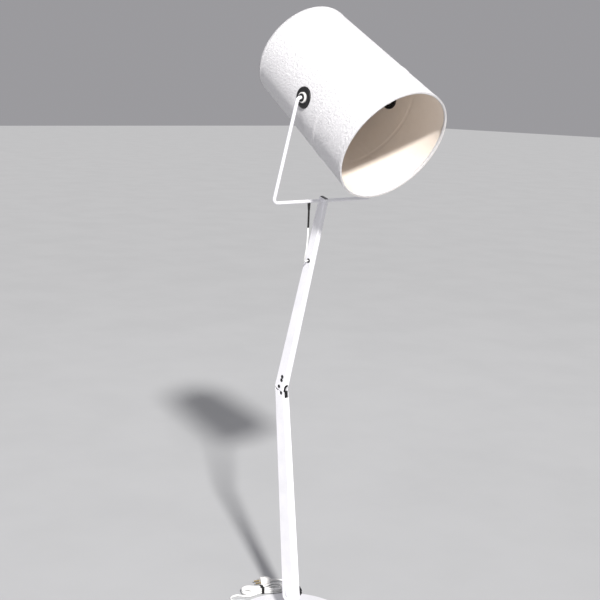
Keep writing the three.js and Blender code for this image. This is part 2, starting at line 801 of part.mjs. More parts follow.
function bulbCap() {
  const z0 = HOLDER.seat - 2.7 + 20 + GAP;
  const threads = Array.from({ length: 4 }, (_, i) => [
    [12.4, z0 + 5 + i * 4.8],
    [13.2, z0 + 7.4 + i * 4.8],
  ]).flat();
  return turned([[0, z0], [5, z0], [10, z0 + 4], ...threads, [12.6, z0 + 28], [0, z0 + 28]], 16);
}

function bulbGlass() {
  const z0 = HOLDER.seat - 2.7 + 20 + GAP + 28 + GAP;
  const { bulbLength, bulbRadius } = HOLDER;
  const crown = bulbLength - 28 - bulbRadius;
  const shoulder = arc(0, z0 + crown, bulbRadius, bulbRadius, -28, 90, 12);
  const profile = [[0, z0], [13, z0], [14, z0 + 6], [17, z0 + 13], ...shoulder];
  profile[profile.length - 1][0] = 0;
  return turned(profile, 22);
}

// The lead from the near end of the fork along the strip to the lampholder's back.
const HOLDER_LEAD_POINTS = [
  [0, -135.5, 0],
  [0, -122, 0],
  [0, -104, -4],
  [0, -86, -14],
  [0, -66, -27],
  [0, -44, -34],
  [0, -24, -36.5],
  [0, -8, -34],
  [0, -0.5, -26],
];

function holderScrew(y) {
  const z = -STRIP.back - STRIP.thick - GAP;
  return join(pinZ(3.6, z - 2.2, z, 0, y, 16), pinZ(1.6, z - 1, z + 11, 0, y, 12));
}

function buildShade(parent) {
  piece(parent, "shade_skin", shadeSkin(), "canvas");
  piece(parent, "shade_hoop_mouth", shadeHoop(SHADE.mouth - 3.5), "steel");
  piece(parent, "shade_hoop_back", shadeHoop(SHADE.back + 5), "steel");
  piece(parent, "shade_back_panel", shadeBackPanel(), "canvas");
  for (const [side, sign] of [["near", -1], ["far", 1]]) {
    const turn = sign < 0 ? Math.PI : 0;
    const pieces = [
      piece(parent, `eyelet_outer_${side}`, eyeletOuter(), "blackPlastic"),
      piece(parent, `eyelet_inner_${side}`, eyeletInner(), "blackPlastic"),
      piece(parent, `pivot_bush_${side}`, pivotBush(), "whitePlastic"),
      piece(parent, `bush_nut_${side}`, bushNut(), "steel"),
    ];
    pieces.forEach((mesh) => {
      mesh.rotation.z = turn;
    });
  }
  piece(parent, "cross_bracket", crossBracket(), "steel");
  piece(parent, "lampholder", lampholder(), "whitePlastic");
  piece(parent, "switch_push", switchPush(), "blackPlastic");
  piece(parent, "bulb_cap", bulbCap(), "brass");
  piece(parent, "bulb_glass", bulbGlass(), "opal");
  piece(parent, "holder_lead", flex(HOLDER_LEAD_POINTS, 2, 8, 24), "whitePlastic");
  [-12, 12].forEach((y, i) => piece(parent, `holder_screw_${i + 1}`, holderScrew(y), "steel"));
}

// ---- Mains cord -------------------------------------------------------------------------------

// The hank lies on the floor behind the base. Its long axis is u and its left side v.
const HANK_U = new THREE.Vector2(Math.cos(rad(HANK_TURN)), Math.sin(rad(HANK_TURN)));
const HANK_V = new THREE.Vector2(-HANK_U.y, HANK_U.x);

// A point of the hank's own plan, in the lamp's frame.
function fromHank(u, v, z) {
  const x = HANK_CENTRE.x + HANK_U.x * u + HANK_V.x * v;
  const y = HANK_CENTRE.y + HANK_U.y * u + HANK_V.y * v;
  return [x, y, z];
}

// The hank's outline: two round ends and a waist where the tie draws its runs together.
function hankOutline(grow) {
  const { radius, hankRadius, hankRun, hankWaist } = CORD;
  const end = hankRadius + radius + grow;
  const waist = hankWaist + grow;
  const side = (sign) => Array.from({ length: 11 }, (_, i) => {
    const u = (sign * hankRun * (i - 5)) / 10;
    const beyondTie = Math.max(Math.abs(u) - TIE_HALF, 0) / (hankRun / 2 - TIE_HALF);
    const share = (1 - Math.cos(Math.PI * beyondTie)) / 2;
    return [u, -sign * (waist + (end - waist) * share)];
  });
  return [
    ...side(1),
    ...arc(hankRun / 2, 0, end, end, -90, 90, 12).slice(1, -1),
    ...side(-1),
    ...arc(-hankRun / 2, 0, end, end, 90, 270, 12).slice(1, -1),
  ];
}

function hankSolid(grow) {
  const { hankHeight, lift } = CORD;
  const shape = new THREE.Shape(hankOutline(grow).map(([u, v]) => new THREE.Vector2(u, v)));
  const depth = hankHeight + 2 * grow;
  const body = new THREE.ExtrudeGeometry(shape, { depth, bevelEnabled: false });
  return body.translate(0, 0, lift - grow).rotateZ(rad(HANK_TURN)).translate(HANK_CENTRE.x, HANK_CENTRE.y, 0);
}

function hankTie() {
  const { hankWaist, hankHeight, lift } = CORD;
  const half = hankWaist + 1.4;
  const top = lift + hankHeight;
  const band = cut(
    box(-TIE_HALF + 1, TIE_HALF - 1, -half, half, 0, top + 1.3),
    box(-TIE_HALF, TIE_HALF, -half + 1.1, half - 1.1, lift - GAP, top + GAP),
  );
  return band.rotateZ(rad(HANK_TURN)).translate(HANK_CENTRE.x, HANK_CENTRE.y, 0);
}

const MAINS_RUN_POINTS = [
  [-50.7, 0, 27],
  [-62, -0.6, 26.6],
  [-84, -4, 22.5],
  [-108, -11, 17],
  [-134, -21, 14.6],
  [-160, -33, 14.5],
  [-184, -45, 14.5],
  [-204, -55, 11.6],
  [-222, -62.5, 6],
  [-238, -64, 3.4],
  [-253, -57, 3.1],
  [-259, -42, 3.1],
  [-256, -26, 3.4],
];

function mainsRun() {
  const points = [
    ...MAINS_RUN_POINTS,
    fromHank(-CORD.hankRun / 2 - 14, -CORD.hankRadius, 4.3),
    fromHank(-CORD.hankRun / 2, -CORD.hankRadius, 4.3),
  ];
  return largest(cut(flex(points, CORD.radius, 8, 34), hankSolid(GAP)));
}

function mainsTail() {
  const { hankRadius, hankRun, lift, hankHeight, radius } = CORD;
  const bend = (PLUG.side + hankRadius) / 2;
  const high = lift + hankHeight - radius;
  const top = PLUG.start + 10;
  const drop = [10.5, 7.5, 5, 3.5, 3.1, 3.1, 4.6, 7.6, 11.2, 14.4];
  const turn = arc(top, PLUG.side - bend, bend, bend, 270, 450, drop.length - 1);
  const points = [
    fromHank(hankRun / 2, -hankRadius, high),
    fromHank(hankRun / 2 + 10, -hankRadius, high - 0.3),
    fromHank(hankRun / 2 + 24, -hankRadius, high - 2.6),
    ...turn.map(([u, v], i) => fromHank(u, v, drop[i])),
    fromHank(PLUG.start - 1, PLUG.side, PLUG.radius),
  ];
  const plugEnd = placedOnPlug(pinZ(6, -GAP, 20));
  return largest(cut(flex(points, radius, 8, 30), hankSolid(GAP), plugEnd));
}

// The plug lies on its side with its two pins pointing away from the cord.
function plugBody() {
  const { relief, body, radius } = PLUG;
  const profile = [
    [0, 0],
    [3.4, 0],
    [5, relief - 4],
    [7.5, relief],
    [13, relief + 6],
    [radius - 0.5, relief + 18],
    [radius - 0.5, relief + body - 2],
    [radius - 2.5, relief + body],
    [0, relief + body],
  ];
  return placedOnPlug(turned(profile, 28));
}

function plugPin(side) {
  const { relief, body, pin, pinLength } = PLUG;
  const start = relief + body + GAP;
  return placedOnPlug(pinZ(pin, start, start + pinLength, 0, side * 9.5, 12));
}

// Turns a piece whose axis is Z so that it points back along the hank from the plug's start.
function placedOnPlug(geometry) {
  const [x, y, z] = fromHank(PLUG.start, PLUG.side, PLUG.radius);
  return geometry.rotateY(-Math.PI / 2).rotateZ(rad(HANK_TURN)).translate(x, y, z);
}

function buildMainsCord(parent) {
  piece(parent, "mains_cord_run", mainsRun(), "whitePlastic");
  piece(parent, "mains_cord_hank", hankSolid(0), "whitePlastic");
  piece(parent, "mains_cord_tail", mainsTail(), "whitePlastic");
  piece(parent, "hank_tie", hankTie(), "rubber");
  piece(parent, "plug_body", plugBody(), "whitePlastic");
  piece(parent, "plug_pin_1", plugPin(1), "brass");
  piece(parent, "plug_pin_2", plugPin(-1), "brass");
}

// ---- The lamp ---------------------------------------------------------------------------------

const lamp = new THREE.Group();
buildBase(lamp);
buildMainsCord(lamp);

const lowerArm = leaning(lamp, 0, FOOT.height, LOWER.lean);
buildLowerArm(lowerArm);

const upperArm = leaning(lowerArm, 0, LOWER.length, UPPER.lean - LOWER.lean);
buildUpperArm(upperArm);

const fork = leaning(upperArm, 0, UPPER.length, FORK.lean - UPPER.lean);
buildFork(fork);

const shade = leaning(fork, 0, FORK.reach, 90 + SHADE.dip - FORK.lean);
buildShade(shade);

export default lamp;
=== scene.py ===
"""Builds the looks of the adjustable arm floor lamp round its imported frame."""

from __future__ import annotations

import json
import logging
import math
from dataclasses import dataclass, field
from enum import Enum
from typing import Callable, Iterable, Optional, Sequence

import bpy
from mathutils import Matrix, Vector

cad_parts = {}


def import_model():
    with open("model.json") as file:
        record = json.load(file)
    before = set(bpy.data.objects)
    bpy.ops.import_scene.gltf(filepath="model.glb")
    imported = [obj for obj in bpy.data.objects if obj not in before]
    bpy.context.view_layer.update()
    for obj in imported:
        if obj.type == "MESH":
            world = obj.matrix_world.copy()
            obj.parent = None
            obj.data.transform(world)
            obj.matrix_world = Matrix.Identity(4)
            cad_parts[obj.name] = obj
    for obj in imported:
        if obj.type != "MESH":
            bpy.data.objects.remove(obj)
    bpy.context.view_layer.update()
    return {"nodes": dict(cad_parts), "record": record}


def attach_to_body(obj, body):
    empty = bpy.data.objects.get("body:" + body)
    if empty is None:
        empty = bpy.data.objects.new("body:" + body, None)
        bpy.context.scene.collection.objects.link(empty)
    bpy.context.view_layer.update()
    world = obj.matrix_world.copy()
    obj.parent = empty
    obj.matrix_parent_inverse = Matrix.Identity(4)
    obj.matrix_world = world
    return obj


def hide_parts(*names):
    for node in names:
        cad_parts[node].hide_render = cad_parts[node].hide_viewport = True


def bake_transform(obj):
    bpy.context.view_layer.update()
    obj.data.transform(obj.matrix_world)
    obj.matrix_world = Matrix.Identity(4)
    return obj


LOG = logging.getLogger("lamp")
MM = 0.001
Point = Sequence[float]


# ---- Shader expressions ----------------------------------------------------------------------


class Value:
    """A number on a shader socket, with the arithmetic of a plain number."""

    def __init__(self, graph: "ShaderGraph", socket: bpy.types.NodeSocket) -> None:
        """Wraps one output socket.

        Args:
            graph: the material the socket belongs to.
            socket: the output socket.
        """
        self.graph = graph
        self.socket = socket

    def _math(self, operation: str, *others: "float | Value") -> "Value":
        """Adds a Math node.

        Args:
            operation: the node's operation.
            others: its further operands.

        Returns:
            The result as a value.
        """
        values = {0: self, **{i + 1: other for i, other in enumerate(others)}}
        node = self.graph.node("ShaderNodeMath", {"operation": operation}, values)
        return Value(self.graph, node.outputs[0])

    def __add__(self, other: "float | Value") -> "Value":
        """Returns the sum."""
        return self._math("ADD", other)

    __radd__ = __add__

    def __mul__(self, other: "float | Value") -> "Value":
        """Returns the product."""
        return self._math("MULTIPLY", other)

    __rmul__ = __mul__

    def __sub__(self, other: "float | Value") -> "Value":
        """Returns the difference."""
        return self._math("SUBTRACT", other)

    def __rsub__(self, other: float) -> "Value":
        """Returns a plain number less this value."""
        return self._math("MULTIPLY", -1.0)._math("ADD", other)

    def sine(self) -> "Value":
        """Returns the sine, with the value in radians."""
        return self._math("SINE")

    def magnitude(self) -> "Value":
        """Returns the value without its sign."""
        return self._math("ABSOLUTE")

    def larger(self, other: "float | Value") -> "Value":
        """Returns the larger of the two."""
        return self._math("MAXIMUM", other)

    def spread(self, low: float, high: float) -> "Value":
        """Stretches the span from low to high over 0 to 1, smoothly and clamped.

        Args:
            low: the value that becomes 0.
            high: the value that becomes 1.

        Returns:
            The stretched value.
        """
        node = self.graph.node(
            "ShaderNodeMapRange",
            {"interpolation_type": "SMOOTHSTEP"},
            {"Value": self, "From Min": low, "From Max": high},
        )
        return Value(self.graph, node.outputs["Result"])


class Space(Enum):
    """Where a material's pattern takes its coordinates from."""

    OBJECT = "Object"
    CLOTH = "UV"


class Graph:
    """A node tree of either kind."""

    tree: bpy.types.NodeTree

    def node(
        self,
        kind: str,
        settings: Optional[dict[str, object]] = None,
        inputs: Optional[dict[object, object]] = None,
    ) -> bpy.types.Node:
        """Adds one node of any kind.

        Args:
            kind: the node's type name.
            settings: its properties, which are set before its sockets.
            inputs: a constant, Value or output socket for each input by name or index.

        Returns:
            The new node.
        """
        made = self.tree.nodes.new(kind)
        for key, value in (settings or {}).items():
            setattr(made, key, value)
        for key, value in (inputs or {}).items():
            self.feed(made.inputs[key], value)
        return made

    def feed(self, target: bpy.types.NodeSocket, value: object) -> None:
        """Links a Value or an output socket to an input, or sets the input to a constant."""
        if isinstance(value, Value):
            value = value.socket
        if isinstance(value, bpy.types.NodeSocket):
            self.tree.links.new(value, target)
        else:
            target.default_value = value


class ShaderGraph(Graph):
    """One material's node tree and its Principled shader."""

    def __init__(self, name: str) -> None:
        """Starts an empty material.

        Args:
            name: the material's name.
        """
        self.material = bpy.data.materials.new(name)
        self.material.use_nodes = True
        self.tree = self.material.node_tree
        self.shader = self.tree.nodes["Principled BSDF"]

    def set(self, **inputs: object) -> None:
        """Feeds inputs of the Principled shader, with _ in place of spaces in their names."""
        for key, value in inputs.items():
            self.feed(self.shader.inputs[key.replace("_", " ")], value)

    def coordinates(self, space: Space, scale: Point = (1, 1, 1)) -> bpy.types.NodeSocket:
        """Returns scaled object or cloth coordinates in metres."""
        source = self.node("ShaderNodeTexCoord").outputs[space.value]
        mapping = self.node("ShaderNodeMapping", None, {"Vector": source, "Scale": tuple(scale)})
        return mapping.outputs["Vector"]

    def axis(self, vector: bpy.types.NodeSocket, name: str) -> Value:
        """Returns one component of a vector socket."""
        return Value(self, self.node("ShaderNodeSeparateXYZ", None, {0: vector}).outputs[name])

    def noise(self, vector: bpy.types.NodeSocket, size: float, detail: float = 2.0) -> Value:
        """Adds noise whose features have a real size.

        Args:
            vector: the coordinates, in metres.
            size: the size of one feature in metres.
            detail: how many finer octaves it has.

        Returns:
            The noise, from 0 to 1.
        """
        inputs = {"Vector": vector, "Scale": 1 / size, "Detail": detail, "Roughness": 0.55}
        return Value(self, self.node("ShaderNodeTexNoise", None, inputs).outputs["Fac"])

    def blend(self, share: "float | Value", low: Point, high: Point) -> bpy.types.NodeSocket:
        """Mixes two colours.

        Args:
            share: how much of the second colour shows.
            low: the first colour.
            high: the second colour.

        Returns:
            The colour socket.
        """
        inputs = {0: share, 6: (*low, 1.0), 7: (*high, 1.0)}
        settings = {"data_type": "RGBA", "clamp_factor": True}
        return self.node("ShaderNodeMix", settings, inputs).outputs[2]

    def relief(self, height: Value, depth: float, strength: float = 1.0) -> None:
        """Turns a height from 0 to 1 into the shader's normals.

        Args:
            height: the height.
            depth: the real depth of the relief in metres.
            strength: how strongly the relief shows.
        """
        inputs = {"Height": height, "Distance": depth, "Strength": strength}
        bump = self.node("ShaderNodeBump", None, inputs)
        self.feed(self.shader.inputs["Normal"], bump.outputs["Normal"])


# ---- Finishes --------------------------------------------------------------------------------


@dataclass(frozen=True)
class Surface:
    """A moulded, painted or metal surface with a fine grain and slight changes of tone."""

    name: str
    tone: tuple[float, float, float]
    shaded: tuple[float, float, float]
    roughness: float = 0.45
    rough_range: float = 0.08
    metallic: float = 0.0
    grain: float = 0.0012
    grain_depth: float = 0.00003
    patch: float = 0.06
    stretch: tuple[float, float, float] = (1.0, 1.0, 1.0)
    coat: float = 0.0
    scuffs: float = 0.0
    gloss: float = 0.5

    def build(self) -> bpy.types.Material:
        """Returns the finish as a material."""
        graph = ShaderGraph(self.name)
        plain = graph.coordinates(Space.OBJECT)
        grained = graph.coordinates(Space.OBJECT, self.stretch)
        patches = graph.noise(plain, self.patch, 3).spread(0.3, 0.75)
        grain = graph.noise(grained, self.grain, 3)
        scuff = graph.noise(plain, 0.011, 6).spread(0.63, 0.7) * self.scuffs
        graph.set(
            Base_Color=graph.blend(patches * 0.7 + scuff, self.tone, self.shaded),
            Roughness=self.roughness + (patches + grain - 1.0) * self.rough_range + scuff * 0.25,
            Metallic=self.metallic,
            Coat_Weight=self.coat,
            Specular_IOR_Level=self.gloss,
        )
        graph.relief(grain, self.grain_depth)
        return graph.material


@dataclass(frozen=True)
class Canvas:
    """A plain woven canvas: warp and weft threads, slubs and a slight crinkle."""

    name: str
    tone: tuple[float, float, float]
    shaded: tuple[float, float, float]
    thread: float = 0.0021
    depth: float = 0.0034
    crinkle: float = 0.0078
    roughness: float = 0.88
    sheen: float = 0.25

    def build(self) -> bpy.types.Material:
        """Returns the cloth as a material."""
        graph = ShaderGraph(self.name)
        cloth = graph.coordinates(Space.CLOTH)
        turn = math.pi / self.thread
        across = graph.axis(cloth, "X") * turn + graph.noise(cloth, 0.02) * 1.6
        along = graph.axis(cloth, "Y") * turn + graph.noise(cloth, 0.026) * 1.6
        warp, weft = across.sine(), along.sine()
        over = (warp * weft).spread(-0.35, 0.35)
        threads = warp.magnitude() * over + weft.magnitude() * (1.0 - over)
        slub_u = graph.noise(graph.coordinates(Space.CLOTH, (1, 9, 1)), 0.016, 3)
        slub_v = graph.noise(graph.coordinates(Space.CLOTH, (9, 1, 1)), 0.016, 3)
        slubs = slub_u.larger(slub_v).spread(0.5, 0.85)
        crinkle = graph.noise(cloth, self.crinkle, 2).spread(0.3, 0.7)
        height = threads * 0.28 + slubs * 0.2 + crinkle * 0.52
        dirt = graph.noise(cloth, 0.12, 3).spread(0.45, 0.85)
        # The colour is painted darker where the weave, slubs and crinkle are low: painted shade in
        # their hollows. The dirt noise adds random soiling on top.
        share = (1.0 - height) * 0.5 + dirt * 0.16
        graph.set(
            Base_Color=graph.blend(share, self.tone, self.shaded),
            Roughness=self.roughness - threads * 0.08,
            Sheen_Weight=self.sheen,
            Sheen_Roughness=0.6,
        )
        graph.relief(height, self.depth)
        return graph.material


@dataclass(frozen=True)
class CordSheath:
    """A soft extruded sheath with faint marks from the die and from handling."""

    name: str
    tone: tuple[float, float, float]
    shaded: tuple[float, float, float]
    roughness: float = 0.5

    def build(self) -> bpy.types.Material:
        """Returns the sheath as a material."""
        graph = ShaderGraph(self.name)
        place = graph.coordinates(Space.OBJECT)
        marks = graph.noise(place, 0.02, 4).spread(0.4, 0.8)
        fine = graph.noise(place, 0.0009, 2)
        graph.set(
            Base_Color=graph.blend(marks * 0.8, self.tone, self.shaded),
            Roughness=self.roughness + (marks + fine - 1.0) * 0.1,
        )
        graph.relief(fine, 0.00002)
        return graph.material


class Finishes:
    """Every finish of the lamp, each built once when it is first used."""

    KINDS: dict[str, "Surface | Canvas | CordSheath"] = {
        "white_paint": Surface(
            "white_paint", (0.86, 0.855, 0.885), (0.77, 0.765, 0.80), 0.36, 0.1,
            grain=0.0016, grain_depth=0.00005, scuffs=0.10,
        ),
        "black_steel": Surface(
            "black_steel", (0.008, 0.008, 0.009), (0.018, 0.018, 0.019), 0.5, 0.12,
            scuffs=0.3, gloss=0.3,
        ),
        "zinc_steel": Surface(
            "zinc_steel", (0.60, 0.61, 0.63), (0.46, 0.47, 0.48), 0.32, 0.16, 1.0,
            grain=0.0007, stretch=(1, 0.06, 1), scuffs=0.3,
        ),
        "brass": Surface(
            "brass", (0.78, 0.60, 0.30), (0.60, 0.44, 0.20), 0.28, 0.12, 1.0,
            grain=0.0006, scuffs=0.3,
        ),
        "black_rubber": Surface(
            "black_rubber", (0.010, 0.010, 0.010), (0.024, 0.023, 0.022), 0.8, 0.1,
            grain=0.0008, grain_depth=0.00006, scuffs=0.2, gloss=0.3,
        ),
        "black_plastic": Surface(
            "black_plastic", (0.008, 0.008, 0.009), (0.016, 0.016, 0.017), 0.42, 0.1,
            grain=0.0006, grain_depth=0.00004, gloss=0.4,
        ),
        "white_plastic": Surface(
            "white_plastic", (0.84, 0.83, 0.82), (0.74, 0.73, 0.71), 0.38, 0.1, grain=0.0011,
        ),
        "opal": Surface(
            "opal", (0.90, 0.89, 0.85), (0.84, 0.82, 0.78), 0.3, 0.06, coat=0.3,
        ),
        "canvas": Canvas("canvas", (0.90, 0.89, 0.905), (0.70, 0.69, 0.71)),
        "lining": Canvas(
            "lining", (0.86, 0.775, 0.69), (0.80, 0.705, 0.615), thread=0.0013, depth=0.0002,
            crinkle=0.02, roughness=0.8, sheen=0.1,
        ),
        "thread": CordSheath("thread", (0.80, 0.79, 0.80), (0.62, 0.61, 0.63), 0.85),
        "white_cord": CordSheath("white_cord", (0.84, 0.84, 0.83), (0.70, 0.69, 0.67)),
    }

    def __init__(self) -> None:
        """Starts with no finish built."""
        self.made: dict[str, bpy.types.Material] = {}

    def __getitem__(self, name: str) -> bpy.types.Material:
        """Returns the material of that name."""
        if name not in self.made:
            self.made[name] = self.KINDS[name].build()
        return self.made[name]


# ---- Making meshes ---------------------------------------------------------------------------


def frame_matrix(origin: Vector, lean: float) -> Matrix:
    """Returns the place of an arm's own frame, whose Z leans forwards by an angle in degrees."""
    return Matrix.Translation(origin) @ Matrix.Rotation(math.radians(lean), 4, "Y")


def linked(name: str, data: bpy.types.ID) -> bpy.types.Object:
    """Returns a new object in the scene that holds some data."""
    made = bpy.data.objects.new(name, data)
    bpy.context.scene.collection.objects.link(made)
    return made


def evaluated(piece: bpy.types.Object, name: str) -> bpy.types.Mesh:
    """Returns a plain mesh of a piece as its modifiers leave it."""
    bpy.context.view_layer.update()
    graph = bpy.context.evaluated_depsgraph_get()
    mesh = bpy.data.meshes.new_from_object(piece.evaluated_get(graph))
    mesh.name = name
    return mesh


def circle_point(radius: float, angle: float, height: float) -> tuple[float, float, float]:
    """Returns a point at a radius, an angle in radians and a height."""
    return radius * math.cos(angle), radius * math.sin(angle), height


def make_object(
    name: str,
    points: Sequence[Point],
    faces: Sequence[Sequence[int]],
    place: Optional[Matrix] = None,
    cloth: Optional[Callable[[int], tuple[float, float]]] = None,
    smooth: bool = True,
) -> bpy.types.Object:
    """Makes a mesh object at the origin.

    Args:
        name: the object's name.
        points: the corners, in millimetres of the piece's own frame.
        faces: the corner numbers of each face, anticlockwise from outside.
        place: where the piece's own frame lies, in metres.
        cloth: gives a corner's cloth coordinates in metres.
        smooth: whether the faces are shaded smooth.

    Returns:
        The object.
    """
    place = place or Matrix.Identity(4)
    mesh = bpy.data.meshes.new(name)
    mesh.from_pydata([place @ (Vector(p) * MM) for p in points], [], [list(f) for f in faces])
    if cloth:
        layer = mesh.uv_layers.new(name="cloth")
        for loop in mesh.loops:
            layer.data[loop.index].uv = cloth(loop.vertex_index)
    mesh.polygons.foreach_set("use_smooth", [smooth] * len(mesh.polygons))
    mesh.update()
    return linked(name, mesh)


def rounded(outline: Sequence[Point], radius: float, steps: int = 4) -> list[tuple[float, float]]:
    """Rounds the inner corners of an open outline.

    Args:
        outline: (radius, height) points.
        radius: the largest fillet, in the outline's units.
        steps: how many chords each fillet has.

    Returns:
        The outline with its fillets.
    """
    out = [tuple(outline[0])]
    for before, corner, after in zip(outline, outline[1:], outline[2:]):
        a, c, b = Vector(before), Vector(corner), Vector(after)
        reach = min(radius, (a - c).length * 0.45, (b - c).length * 0.45)
        start, end = c + (a - c).normalized() * reach, c + (b - c).normalized() * reach
        for i in range(steps + 1):
            t = i / steps
            out.append(tuple(start * (1 - t) ** 2 + c * 2 * t * (1 - t) + end * t * t))
    out.append(tuple(outline[-1]))
    return out


def lathe(
    name: str,
    outline: Sequence[Point],
    place: Matrix,
    segments: int = 96,
    wobble: Optional[Callable[[float, float, float], float]] = None,
) -> bpy.types.Object:
    """Turns an outline about the Z axis of a place.

    Args:
        name: the object's name.
        outline: (radius, height) points, anticlockwise; it starts and ends on the axis, or its
            last point joins its first.
        place: where the axis lies.
        segments: how many steps go round.
        wobble: changes a radius, given the angle, radius and height.

    Returns:
        The object.
    """
    points: list[Point] = []
    rings: list[list[int]] = []
    for radius, height in outline:
        if radius < 1e-6:
            points.append((0, 0, height))
            rings.append([len(points) - 1] * segments)
            continue
        ring = []
        for i in range(segments):
            angle = 2 * math.pi * i / segments
            r = wobble(angle, radius, height) if wobble else radius
            points.append(circle_point(r, angle, height))
            ring.append(len(points) - 1)
        rings.append(ring)
    closed = outline[0][0] > 1e-6
    pairs = list(zip(rings, rings[1:])) + ([(rings[-1], rings[0])] if closed else [])
    faces = []
    for low, high in pairs:
        for i in range(segments):
            j = (i + 1) % segments
            face = list(dict.fromkeys([low[i], low[j], high[j], high[i]]))
            if len(face) > 2:
                faces.append(face)
    return make_object(name, points, faces, place)


def smooth_path(points: Sequence[Point], steps: int) -> list[Vector]:
    """Runs a centripetal curve through points.

    Args:
        points: the points.
        steps: how many chords lie between two points.

    Returns:
        The points of the curve.
    """
    p = [Vector(q) for q in points]
    p = [p[0] * 2 - p[1], *p, p[-1] * 2 - p[-2]]
    out = []
    for i in range(1, len(p) - 2):
        k = [0.0]
        for a, b in zip(p[i - 1 : i + 2], p[i : i + 3]):
            k.append(k[-1] + max((b - a).length, 1e-9) ** 0.5)
        for s in range(steps):
            t = k[1] + (k[2] - k[1]) * s / steps
            a1 = p[i - 1] * ((k[1] - t) / (k[1] - k[0])) + p[i] * ((t - k[0]) / (k[1] - k[0]))
            a2 = p[i] * ((k[2] - t) / (k[2] - k[1])) + p[i + 1] * ((t - k[1]) / (k[2] - k[1]))
            a3 = p[i + 1] * ((k[3] - t) / (k[3] - k[2])) + p[i + 2] * ((t - k[2]) / (k[3] - k[2]))
            b1 = a1 * ((k[2] - t) / (k[2] - k[0])) + a2 * ((t - k[0]) / (k[2] - k[0]))
            b2 = a2 * ((k[3] - t) / (k[3] - k[1])) + a3 * ((t - k[1]) / (k[3] - k[1]))
            out.append(b1 * ((k[2] - t) / (k[2] - k[1])) + b2 * ((t - k[1]) / (k[2] - k[1])))
    out.append(p[-2])
    return out


def sweep(
    name: str, path: Sequence[Vector], radius: float, sides: int, place: Optional[Matrix] = None
) -> bpy.types.Object:
    """Makes a closed tube along a path, with slightly rounded ends.

    Args:
        name: the object's name.
        path: the centre line, in millimetres.
        radius: the tube's radius in millimetres.
        sides: how many sides it has.
        place: where the path's frame lies.

    Returns:
        The object.
    """
    tangents = [
        (path[min(i + 1, len(path) - 1)] - path[max(i - 1, 0)]).normalized()
        for i in range(len(path))
    ]
    side = tangents[0].orthogonal().normalized()
    stations = []
    for point, tangent in zip(path, tangents):
        side = (side - tangent * side.dot(tangent)).normalized()
        stations.append((point, tangent, side, radius))
    round_off = min(radius * 0.25, 0.8)
    first, last = stations[0], stations[-1]
    stations.insert(0, (first[0], first[1], first[2], radius - round_off))
    stations[1] = (first[0] + first[1] * round_off, first[1], first[2], radius)
    stations[-1] = (last[0] - last[1] * round_off, last[1], last[2], radius)
    stations.append((last[0], last[1], last[2], radius - round_off))
    points: list[Vector] = [path[0]]
    for point, tangent, across, r in stations:
        other = tangent.cross(across)
        for i in range(sides):
            angle = 2 * math.pi * i / sides
            points.append(point + across * r * math.cos(angle) + other * r * math.sin(angle))
    points.append(path[-1])
    faces = [(0, 1 + (i + 1) % sides, 1 + i) for i in range(sides)]
    for row in range(len(stations) - 1):
        base = 1 + row * sides
        for i in range(sides):
            j = (i + 1) % sides
            faces.append((base + i, base + j, base + sides + j, base + sides + i))
    top = 1 + (len(stations) - 1) * sides
    faces += [(len(points) - 1, top + i, top + (i + 1) % sides) for i in range(sides)]
    return make_object(name, points, faces, place)


# ---- Repeats -----------------------------------------------------------------------------------


class RepeatTree(Graph):
    """A Geometry Nodes tree that repeats one small solid along a line."""

    def __init__(self, name: str, sizes: dict[str, float]) -> None:
        """Starts a tree with named inputs.

        Args:
            name: the tree's name.
            sizes: each named size and its default.
        """
        self.tree = bpy.data.node_groups.new(name, "GeometryNodeTree")
        face = self.tree.interface
        face.new_socket("Line", in_out="INPUT", socket_type="NodeSocketGeometry")
        face.new_socket("Result", in_out="OUTPUT", socket_type="NodeSocketGeometry")
        self.sockets: dict[str, str] = {}
        for key, value in sizes.items():
            socket = face.new_socket(key, in_out="INPUT", socket_type="NodeSocketFloat")
            socket.default_value = value
            self.sockets[key] = socket.identifier
        self.start = self.tree.nodes.new("NodeGroupInput")
        self.end = self.tree.nodes.new("NodeGroupOutput")

    def close(self, instances: bpy.types.NodeSocket, material: bpy.types.Material) -> None:
        """Ends the tree with real geometry in its finish."""
        real = self.node("GeometryNodeRealizeInstances", None, {"Geometry": instances})
        painted = self.node(
            "GeometryNodeSetMaterial", None, {"Geometry": real.outputs[0], "Material": material}
        )
        self.tree.links.new(painted.outputs[0], self.end.inputs[0])

    def bake(self, line: bpy.types.Object, name: str, sizes: dict[str, float]) -> bpy.types.Object:
        """Runs the tree on a line and keeps the result as a plain mesh.

        Args:
            line: the object whose line is followed; it is removed afterwards.
            name: the new object's name.
            sizes: the named sizes for this line.

        Returns:
            The new object.
        """
        modifier = line.modifiers.new("repeat", "NODES")
        modifier.node_group = self.tree
        for key, value in sizes.items():
            modifier[self.sockets[key]] = value
        mesh = evaluated(line, name)
        mesh.polygons.foreach_set("use_smooth", [True] * len(mesh.polygons))
        line.modifiers.remove(modifier)
        bpy.data.objects.remove(line)
        return linked(name, mesh)


